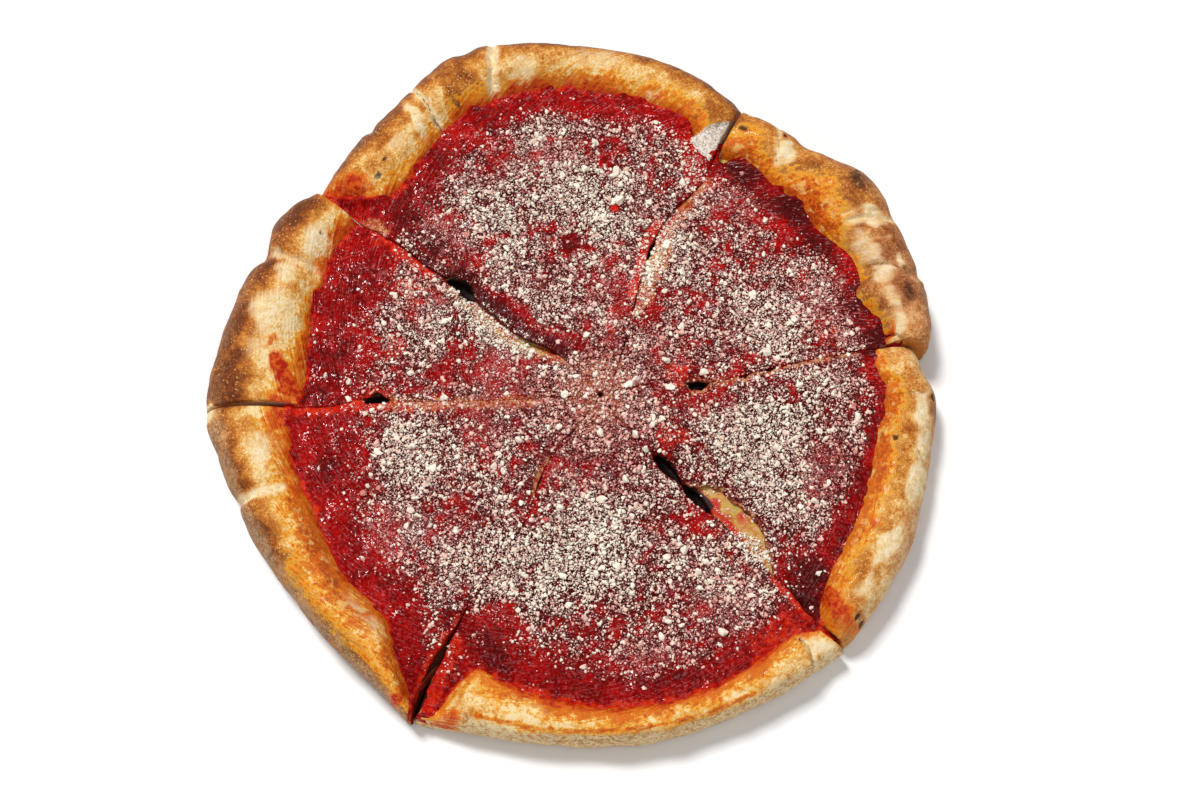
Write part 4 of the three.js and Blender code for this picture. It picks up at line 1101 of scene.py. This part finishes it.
def grain_shapes(kind, random):
    """Angular lumps of unit radius, as vertex and triangle arrays."""
    shapes = []
    for _ in range(SHAPES_OF_A_KIND):
        lump = bmesh.new()
        if kind in EIGHT_FACES:
            bmesh.ops.create_uvsphere(lump, u_segments=4, v_segments=2, radius=1.1)
        else:
            bmesh.ops.create_icosphere(lump, subdivisions=FEW_FACES.get(kind, 2), radius=1.0)
        bmesh.ops.triangulate(lump, faces=lump.faces)
        for vertex in lump.verts:
            vertex.co *= 1 + random.uniform(*ROUGHENED)
        for _ in range(GRATER_FLATS):
            facing = Vector(random.normal(size=3)).normalized()
            depth = random.uniform(*FLAT_DISTANCE)
            for vertex in lump.verts:
                vertex.co -= facing * max(vertex.co.dot(facing) - depth, 0)
        lump.verts.index_update()
        shapes.append((np.array([v.co for v in lump.verts]),
                       np.array([[v.index for v in f.verts] for f in lump.faces])))
        lump.free()
    return shapes


def turns(count, random):
    """Random rotation matrices, from unit quaternions."""
    q = random.normal(size=(count, 4))
    w, x, y, z = (q / np.linalg.norm(q, axis=1, keepdims=True)).T
    return np.stack([
        1 - 2 * (y * y + z * z), 2 * (x * y - z * w), 2 * (x * z + y * w),
        2 * (x * y + z * w), 1 - 2 * (x * x + z * z), 2 * (y * z - x * w),
        2 * (x * z - y * w), 2 * (y * z + x * w), 1 - 2 * (x * x + y * y),
    ], -1).reshape(-1, 3, 3)


def heights_at(points, surfaces):
    """The height of what lies under each plan point, from the pieces of the slice that holds it."""
    numbers, _, _ = slice_of(points)
    heights = np.full(len(points), np.nan)
    for k, (number, (x, y)) in enumerate(zip(numbers, points)):
        if number:
            found = [h for tree in surfaces[number] if (h := height_on(tree, x, y)) is not None]
            heights[k] = max(found, default=np.nan)
    return heights


def joined(shapes, chosen, turn, stretch, centre, tone):
    """The vertices, triangles and tones of every grain, each a chosen shape that is stretched, turned and
    moved to its place."""
    vertices, triangles, tones, total = [], [], [], 0
    for k, (shape, faces) in enumerate(shapes):
        mine = chosen == k
        grains = np.einsum("nij,nkj->nki", turn[mine], shape[None] * stretch[mine][:, None])
        offsets = total + len(shape) * np.arange(mine.sum())
        vertices.append((grains + centre[mine][:, None]).reshape(-1, 3))
        triangles.append((faces[None] + offsets[:, None, None]).reshape(-1, 3))
        tones.append(np.repeat(tone[mine], len(shape)))
        total += len(shape) * mine.sum()
    return [np.concatenate(parts) for parts in (vertices, triangles, tones)]


def make_grains(kind, finish, surfaces, random):
    """All grains of one kind as one piece. The order of its random draws fixes where each grain lies."""
    count, least, most, heaping, evenness, hazing = GRAINS[kind]
    points = grain_places(count, heaping, evenness, hazing, random)
    radius = least + (most - least) * random.random(count) ** 1.4
    if kind == "grated_crumbs":
        solid = crumb_places()
        _, beside, within = slice_of(solid[:, :2])
        solid[:, 2] *= 0.6 + 0.4 * smoothstep(cover(solid[:, :2], beside, within, heaping), 0, 0.4)
        noted = np.array(NOTED_CRUMBS)
        points = np.concatenate([solid[:, :2], plan(noted[:, 0], noted[:, 1]), points])
        radius = np.concatenate([solid[:, 2] * SOLID_CRUMB_SCALE, noted[:, 2], radius])
    heights = heights_at(points, surfaces)
    held = heights > DOUGH_TOP
    points, radius, heights = points[held], radius[held], heights[held]
    _, beside, within = slice_of(points)
    heap = smoothstep(cover(points, beside, within, 1.4), 0.5, 1.0)
    lift = radius * (GRAIN_MIDDLE - CRUMB_SUNK) + heap * random.random(len(points)) * HEAP_HEIGHT
    centre = np.column_stack([points, heights + lift])
    number = len(points)
    stretch = np.column_stack([np.full(number, GRAIN_LENGTH), random.uniform(*GRAIN_WIDTH, number),
                               random.uniform(*GRAIN_HEIGHT, number)]) * radius[:, None]
    turn = turns(number, random)
    place = polar(points)
    tone = random.normal(*GRAIN_TONE, number) + 0.25 * smoothstep(radius, 0.35, 0.8) + 0.25 * heap
    blushed = np.maximum(0.7 * spots(HAZED, *place), spots(BLUSHED, *place))
    tone = tone + 0.14 * noise(points, 26, 111) - 0.3 * blushed * (1 - smoothstep(radius, 0.9, 1.5))
    tone = tone + 0.35 * spots(DUSTED_LEDGES, *place)
    tone = np.where(radius > 1.6, np.maximum(tone, 0.8), tone)
    shapes = grain_shapes(kind, random)
    chosen = random.integers(0, len(shapes), number)
    vertices, triangles, tones = joined(shapes, chosen, turn, stretch, centre, tone)
    data = bpy.data.meshes.new(kind)
    data.from_pydata(vertices * MM, [], triangles)
    set_attribute(data, "tone", tones)
    return add_piece(kind, data, finish, "grated_cheese", smooth=False)


# ---- Finishes ------------------------------------------------------------------------------------


SOCKETS = dict(base_color="Base Color", roughness="Roughness", specular="Specular IOR Level",
               coat="Coat Weight", coat_roughness="Coat Roughness", normal="Normal")
# The numbers of a colour Mix node's two colour inputs and its colour output.
MIX_FIRST, MIX_SECOND, MIX_RESULT = 6, 7, 2


class Socket:
    """A socket of a finish's nodes, with arithmetic that adds Math nodes."""

    def __init__(self, finish, socket):
        self.finish = finish
        self.socket = socket

    def math(self, operation, *values):
        return self.finish.node("ShaderNodeMath", {"operation": operation}, dict(enumerate(values)))

    def __add__(self, other):
        return self.math("ADD", self, other)

    def __sub__(self, other):
        return self.math("SUBTRACT", self, other)

    def __rsub__(self, other):
        return self.math("SUBTRACT", other, self)

    def __mul__(self, other):
        return self.math("MULTIPLY", self, other)

    __radd__ = __add__
    __rmul__ = __mul__

    def swing(self, reach):
        """A value from 0 to 1, as a swing about 0."""
        return (self - 0.5) * reach

    def step(self, low, high):
        """0 below low, 1 above high, smooth between."""
        return self.finish.node("ShaderNodeMapRange", {"interpolation_type": "SMOOTHSTEP"},
                                {"Value": self, "From Min": low, "From Max": high})


class Finish:
    """A material under construction, with constants on its shader's own sockets."""

    def __init__(self, name, **constants):
        self.material = bpy.data.materials.new(name)
        self.material.use_nodes = True
        self.tree = self.material.node_tree
        self.shader = self.tree.nodes["Principled BSDF"]
        for name, value in constants.items():
            self.shader.inputs[SOCKETS[name]].default_value = value

    def node(self, kind, settings=None, inputs=None, output=0):
        node = self.tree.nodes.new(kind)
        for key, value in (settings or {}).items():
            if key == "stops":
                ramp = node.color_ramp.elements
                while len(ramp) < len(value):
                    ramp.new(0.5)
                for element, (position, colour) in zip(ramp, value):
                    element.position = position
                    element.color = (*colour, 1)
            else:
                setattr(node, key, value)
        for key, value in (inputs or {}).items():
            self.feed(node.inputs[key], value)
        return Socket(self, node.outputs[output])

    def feed(self, socket, value):
        if isinstance(value, Socket):
            self.tree.links.new(value.socket, socket)
        elif isinstance(value, tuple) and len(value) == 3 and socket.type == "RGBA":
            socket.default_value = (*value, 1)
        else:
            socket.default_value = value

    def attribute(self, name):
        return self.node("ShaderNodeAttribute", {"attribute_name": name}, output="Fac")

    def moved(self, shift):
        """Places on the piece, moved so that each texture has its own."""
        place = self.node("ShaderNodeTexCoord", output="Object")
        return self.node("ShaderNodeVectorMath", {"operation": "ADD"}, {0: place, 1: (shift, 2 * shift, 0)})

    def grain(self, size_mm, detail=2.0, shift=0.0, roughness=0.5):
        """Noise from 0 to 1 with features of about this size."""
        return self.node("ShaderNodeTexNoise", None, {
            "Vector": self.moved(shift), "Scale": 1 / (size_mm * MM),
            "Detail": detail, "Roughness": roughness})

    def streaks(self, width_mm, length_mm):
        """Noise from 0 to 1 in strokes that run out from the middle of the pizza."""
        along_stroke = self.attribute("across") * (width_mm / length_mm)
        place = self.node("ShaderNodeCombineXYZ", None, {0: self.attribute("around"), 1: along_stroke})
        return self.node("ShaderNodeTexNoise", None, {"Vector": place, "Scale": 1 / width_mm, "Detail": 2.0})

    def dots(self, size_mm, shift=0.0):
        """Distance, in shares of this size, from scattered points."""
        return self.node("ShaderNodeTexVoronoi", None, {
            "Vector": self.moved(shift), "Scale": 1 / (size_mm * MM)})

    def mix(self, share, first, second):
        """A colour between two colours."""
        inputs = {0: share, MIX_FIRST: first, MIX_SECOND: second}
        return self.node("ShaderNodeMix", {"data_type": "RGBA"}, inputs, output=MIX_RESULT)

    def ramp(self, share, stops):
        return self.node("ShaderNodeValToRGB", {"stops": stops}, {0: share})

    def bump(self, height, strength, distance_mm):
        return self.node("ShaderNodeBump", None, {
            "Height": height, "Strength": strength, "Distance": distance_mm * MM})

    def use(self, **values):
        for name, value in values.items():
            self.feed(self.shader.inputs[SOCKETS[name]], value)
        return self.material


def crust_finish():
    """Baked dough: cream where it is pale, golden to dark brown where toasted, orange where oily, with
    painted glints on browned blisters and painted shade in creases and in the cuts' gaps.
    """
    finish = Finish("baked_crust", specular=0.15)
    browned, pale, oiled = (finish.attribute(n) for n in ("browned", "pale", "oiled"))
    charred, stained, rosy = (finish.attribute(n) for n in ("charred", "stained", "rosy"))
    floured, crumb = finish.attribute("floured"), finish.attribute("crumb")
    coarse, middle = finish.grain(7, 4, 0.11, 0.6), finish.grain(2.2, 4, 0.23, 0.65)
    fine, blisters_and_glints = finish.grain(0.9, 3, 0.37, 0.7), finish.dots(1.5, 0.61)

    toast = browned + coarse.swing(1.15) + middle.swing(0.8) + fine.swing(1.0) + 0.04
    dough = finish.ramp(toast, [
        (0.0, (0.91, 0.69, 0.36)), (0.16, (0.82, 0.49, 0.16)), (0.34, (0.67, 0.28, 0.05)),
        (0.54, (0.48, 0.15, 0.018)), (0.76, (0.30, 0.075, 0.009)), (1.0, (0.13, 0.028, 0.005))])
    dough = finish.mix(rosy * 0.85, dough, finish.ramp(toast, [
        (0.0, (0.78, 0.46, 0.23)), (0.35, (0.58, 0.245, 0.095)),
        (0.65, (0.34, 0.11, 0.035)), (1.0, (0.10, 0.025, 0.01))]))
    glint_patches = toast.step(0.25, 0.5) * finish.grain(9, 2, 0.71).step(0.38, 0.6)
    # Painted glints: small golden highlights dotted over browned blisters.
    dough = finish.mix(blisters_and_glints.step(0.27, 0.13) * glint_patches * 0.65, dough, (0.94, 0.64, 0.28))
    flour = finish.mix((middle + fine.swing(0.9)).step(0.40, 0.66), (0.80, 0.62, 0.36), (0.46, 0.22, 0.055))
    dough = finish.mix(floured * (coarse.step(0.3, 0.5) * 0.5 + 0.5), dough, flour)
    strokes = finish.streaks(2.2, 9)
    blotch = oiled * 0.95 + coarse.swing(1.1) + middle.swing(2.2) + strokes.swing(1.1) + fine.swing(0.6)
    orange = finish.ramp(blotch * 0.65, [
        (0.06, (0.92, 0.62, 0.20)), (0.2, (0.88, 0.46, 0.04)), (0.34, (0.81, 0.30, 0.014)),
        (0.5, (0.68, 0.16, 0.006)), (0.75, (0.42, 0.045, 0.003))])
    dough = finish.mix(blotch.step(0.1, 0.5) * oiled.step(0.02, 0.3) * 0.94, dough, orange)
    oily = oiled.step(0.55, 0.95)
    dough = finish.mix(finish.grain(4.5, 3, 0.57).step(0.54, 0.62) * oily * 0.5, dough, (0.92, 0.64, 0.20))
    winding = finish.grain(7, 2, 0.83) + fine.swing(0.1) - 0.5
    dough = finish.mix((winding * winding).step(0.0011, 0.0002) * oily * 0.9, dough, (0.72, 0.13, 0.006))
    cream = finish.mix(middle.step(0.38, 0.62), (0.93, 0.79, 0.54), (0.83, 0.60, 0.28))
    whiteness = pale + coarse.swing(0.6) + middle.swing(0.5) + strokes.swing(0.6)
    dough = finish.mix(whiteness.step(0.3, 0.75) * 0.85, dough, cream)
    red = finish.mix(middle.step(0.4, 0.62), (0.44, 0.014, 0.003), (0.70, 0.11, 0.008))
    stain = stained + coarse.swing(0.9) + middle.swing(0.8) + strokes.swing(0.8)
    dough = finish.mix(stain.step(0.15, 0.5) * 0.65, dough, (0.80, 0.22, 0.012))
    dough = finish.mix(stain.step(0.4, 0.8), dough, red)
    bread = finish.mix(fine.step(0.36, 0.6), (0.40, 0.31, 0.23), (0.84, 0.76, 0.67))
    dough = finish.mix(crumb.step(0.3, 0.7), dough, bread)
    # Char, and painted shade in crease bottoms and in the cuts' gaps.
    dough = finish.mix((charred + middle.swing(0.9)).step(0.3, 0.8) * 0.92, dough, (0.05, 0.017, 0.009))
    # Painted shade: nearly black deep in the gaps.
    dough = finish.mix(charred.step(1.1, 1.7), dough, (0.012, 0.005, 0.004))

    wet = blotch.step(0.2, 0.7)
    relief = middle * 0.8 + fine * 0.5 + blisters_and_glints * -0.3 + strokes * 0.5
    return finish.use(
        base_color=dough, roughness=0.7 - 0.25 * wet - 0.15 * toast.step(0.4, 0.8),
        normal=finish.bump(relief, 0.9, 0.7), coat=0.1 * wet)


def cheese_finish():
    """Melted cheese, pale yellow with orange oil in it, and painted shade nearly black low on its sides and
    beside open cuts.
    """
    finish = Finish("melted_cheese", roughness=0.5, specular=0.2)
    oiled = finish.attribute("oiled") + finish.grain(2.4, 3, 0.7).swing(0.9)
    colour = finish.ramp(oiled, [
        (0.0, (0.40, 0.31, 0.08)), (0.35, (0.56, 0.34, 0.07)),
        (0.6, (0.50, 0.15, 0.02)), (0.9, (0.52, 0.022, 0.005))])
    # Painted shade: nearly black.
    colour = finish.mix(finish.attribute("sunken").step(0.05, 0.5), colour, (0.025, 0.005, 0.003))
    return finish.use(base_color=colour, normal=finish.bump(finish.grain(1.4, 3, 0.9), 0.6, 0.5))


def sauce_finish():
    """Thick tomato sauce: deep glossy red, orange-red where it is thin, darkened by painted shade, with
    painted pink glare streaks.
    """
    finish = Finish("tomato_sauce", specular=0.03, coat_roughness=0.12)
    thin, dark = finish.attribute("thin"), finish.attribute("dark")
    broad, middle = finish.grain(12, 3, 1.1), finish.grain(3.0, 4, 1.3, 0.65)
    fine, strands = finish.grain(1.0, 2, 1.7), finish.streaks(0.9, 5)
    # Painted shade darkens the sauce where dark is set.
    strength = 0.56 - 0.64 * dark + broad.swing(0.9) + middle.swing(1.2) + fine.swing(0.9)
    strength = strength + strands.swing(1.1)
    deep = finish.ramp(strength, [
        (0.0, (0.07, 0.004, 0.004)), (0.3, (0.15, 0.002, 0.002)), (0.65, (0.34, 0.002, 0.002)),
        (1.0, (0.52, 0.007, 0.004))])
    bright = finish.mix(middle.step(0.4, 0.66), (0.50, 0.006, 0.003), (0.70, 0.032, 0.005))
    colour = finish.mix((thin + middle.swing(1.4)).step(0.35, 0.95), deep, bright)
    bared = finish.attribute("scraped") + middle.swing(1.2) + fine.swing(0.6)
    colour = finish.mix(bared.step(0.35, 0.8) * 0.85, colour, finish.mix(
        finish.grain(1.6, 3, 3.3, 0.6).step(0.42, 0.62), (0.40, 0.045, 0.012), (0.72, 0.36, 0.14)))
    dusted = finish.attribute("dusted")
    # Painted glare: pale pink streaks of reflected light.
    glare = finish.streaks(0.65, 4.5).step(0.53, 0.63) * finish.grain(1.4, 2, 4.1).step(0.47, 0.59)
    colour = finish.mix(glare * (dusted * 0.7 + 0.3), colour, (0.74, 0.42, 0.42))
    powder = dusted * 0.4 + finish.grain(0.6, 3, 2.9, 0.75).swing(3.0) + broad.swing(0.4)
    colour = finish.mix(powder.step(0.35, 0.75) * 0.5, colour, finish.mix(
        fine.step(0.4, 0.6), (0.43, 0.08, 0.08), (0.64, 0.30, 0.30)))
    return finish.use(
        base_color=colour, roughness=0.4, coat=fine.step(0.53, 0.65) * strands.step(0.42, 0.6) * 0.7,
        normal=finish.bump(middle * 1.0 + fine * 0.5 + strands * 0.6, 0.85, 1.0))


def grated_finish():
    """Dry grated hard cheese: cream, some of it pink from the sauce."""
    finish = Finish("grated_cheese", roughness=0.75, specular=0.3)
    tone = finish.attribute("tone")
    colour = finish.ramp(tone + finish.grain(0.6, 1, 2.1).swing(0.25), [
        (0.0, (0.50, 0.09, 0.08)), (0.25, (0.78, 0.36, 0.31)), (0.5, (0.91, 0.65, 0.55)),
        (0.75, (0.97, 0.85, 0.71)), (1.0, (0.98, 0.93, 0.79))])
    return finish.use(base_color=colour, normal=finish.bump(finish.grain(0.5, 2, 2.3), 0.5, 0.15))


# ---- Camera, light and floor ---------------------------------------------------------------------

VIEW_ELEVATION = 72.0
VIEW_DISTANCE = 0.711
VIEW_WIDTH = 0.4927  # what the image spans at the distance of the cuts' meeting point
IMAGE_WIDTH_PX = 1200
CUTS_MEET_ABOVE_MIDDLE_PX = 5
AIM_ABOVE_SAUCE = 0.001
SENSOR_MM = 36.0
SKY_STRENGTH = 0.17
# Soft lights: place, size, power.
LIGHTS = {
    "window": ((-1.1, 1.4, 3.3), 0.8, 118),
    "ceiling": ((0.4, -0.3, 3.0), 2.0, 18),
    "front": ((0.4, -2.6, 1.3), 1.6, 16),
}
FLOOR_HALF = 3.0
FLOOR_DROP = 0.0002  # so that the floor doesn't touch the pizza's underside
FLOOR_GREY = 0.93


def add_camera():
    a = math.radians(VIEW_ELEVATION)
    forward, up = Vector((0, math.cos(a), -math.sin(a))), Vector((0, math.sin(a), math.cos(a)))
    target = Vector((*(CUTS_MEET * MM), SAUCE_LEVEL * MM + AIM_ABOVE_SAUCE))
    aim = target - up * (CUTS_MEET_ABOVE_MIDDLE_PX * VIEW_WIDTH / IMAGE_WIDTH_PX)
    data = bpy.data.cameras.new("camera")
    data.sensor_width = SENSOR_MM
    data.lens = SENSOR_MM * VIEW_DISTANCE / VIEW_WIDTH
    camera = bpy.data.objects.new("camera", data)
    camera.location = aim - forward * VIEW_DISTANCE
    camera.rotation_euler = forward.to_track_quat("-Z", "Y").to_euler()
    bpy.context.scene.collection.objects.link(camera)
    bpy.context.scene.camera = camera


def add_light(name, location, size, energy):
    data = bpy.data.lights.new(name, "AREA")
    data.size = size
    data.energy = energy
    light = bpy.data.objects.new(name, data)
    light.location = location
    light.rotation_euler = (-Vector(location)).to_track_quat("-Z", "Y").to_euler()
    bpy.context.scene.collection.objects.link(light)


def add_studio():
    """A plain white floor and soft daylight from the upper left."""
    world = bpy.data.worlds.new("studio")
    world.use_nodes = True
    sky = world.node_tree.nodes["Background"].inputs
    sky["Color"].default_value = (1, 1, 1, 1)
    sky["Strength"].default_value = SKY_STRENGTH
    bpy.context.scene.world = world
    bpy.context.scene.view_settings.view_transform = "Standard"
    for name, light in LIGHTS.items():
        add_light(name, *light)
    floor = bmesh.new()
    bmesh.ops.create_grid(floor, x_segments=1, y_segments=1, size=FLOOR_HALF)
    data = bpy.data.meshes.new("floor")
    floor.to_mesh(data)
    floor.free()
    paint = Finish("floor_paint", roughness=0.9)
    data.materials.append(paint.use(base_color=(FLOOR_GREY,) * 3))
    obj = bpy.data.objects.new("floor", data)
    obj.location.z = -FLOOR_DROP
    bpy.context.scene.collection.objects.link(obj)


# ---- The pizza -----------------------------------------------------------------------------------


def make_pizza():
    crust, cheese, sauce, grated = crust_finish(), cheese_finish(), sauce_finish(), grated_finish()
    surfaces = {}
    for number in SLICES:
        crust_piece = make_crust(number, crust)
        crust_surface = surface_of(crust_piece)
        pieces = [make_cheese(number, cheese), make_sauce(number, sauce, crust_surface)]
        surfaces[number] = [crust_surface, *(surface_of(p) for p in pieces)]
    random = np.random.default_rng(SEED)
    for kind in GRAINS:
        make_grains(kind, grated, surfaces, random)


add_camera()
add_studio()
make_pizza()
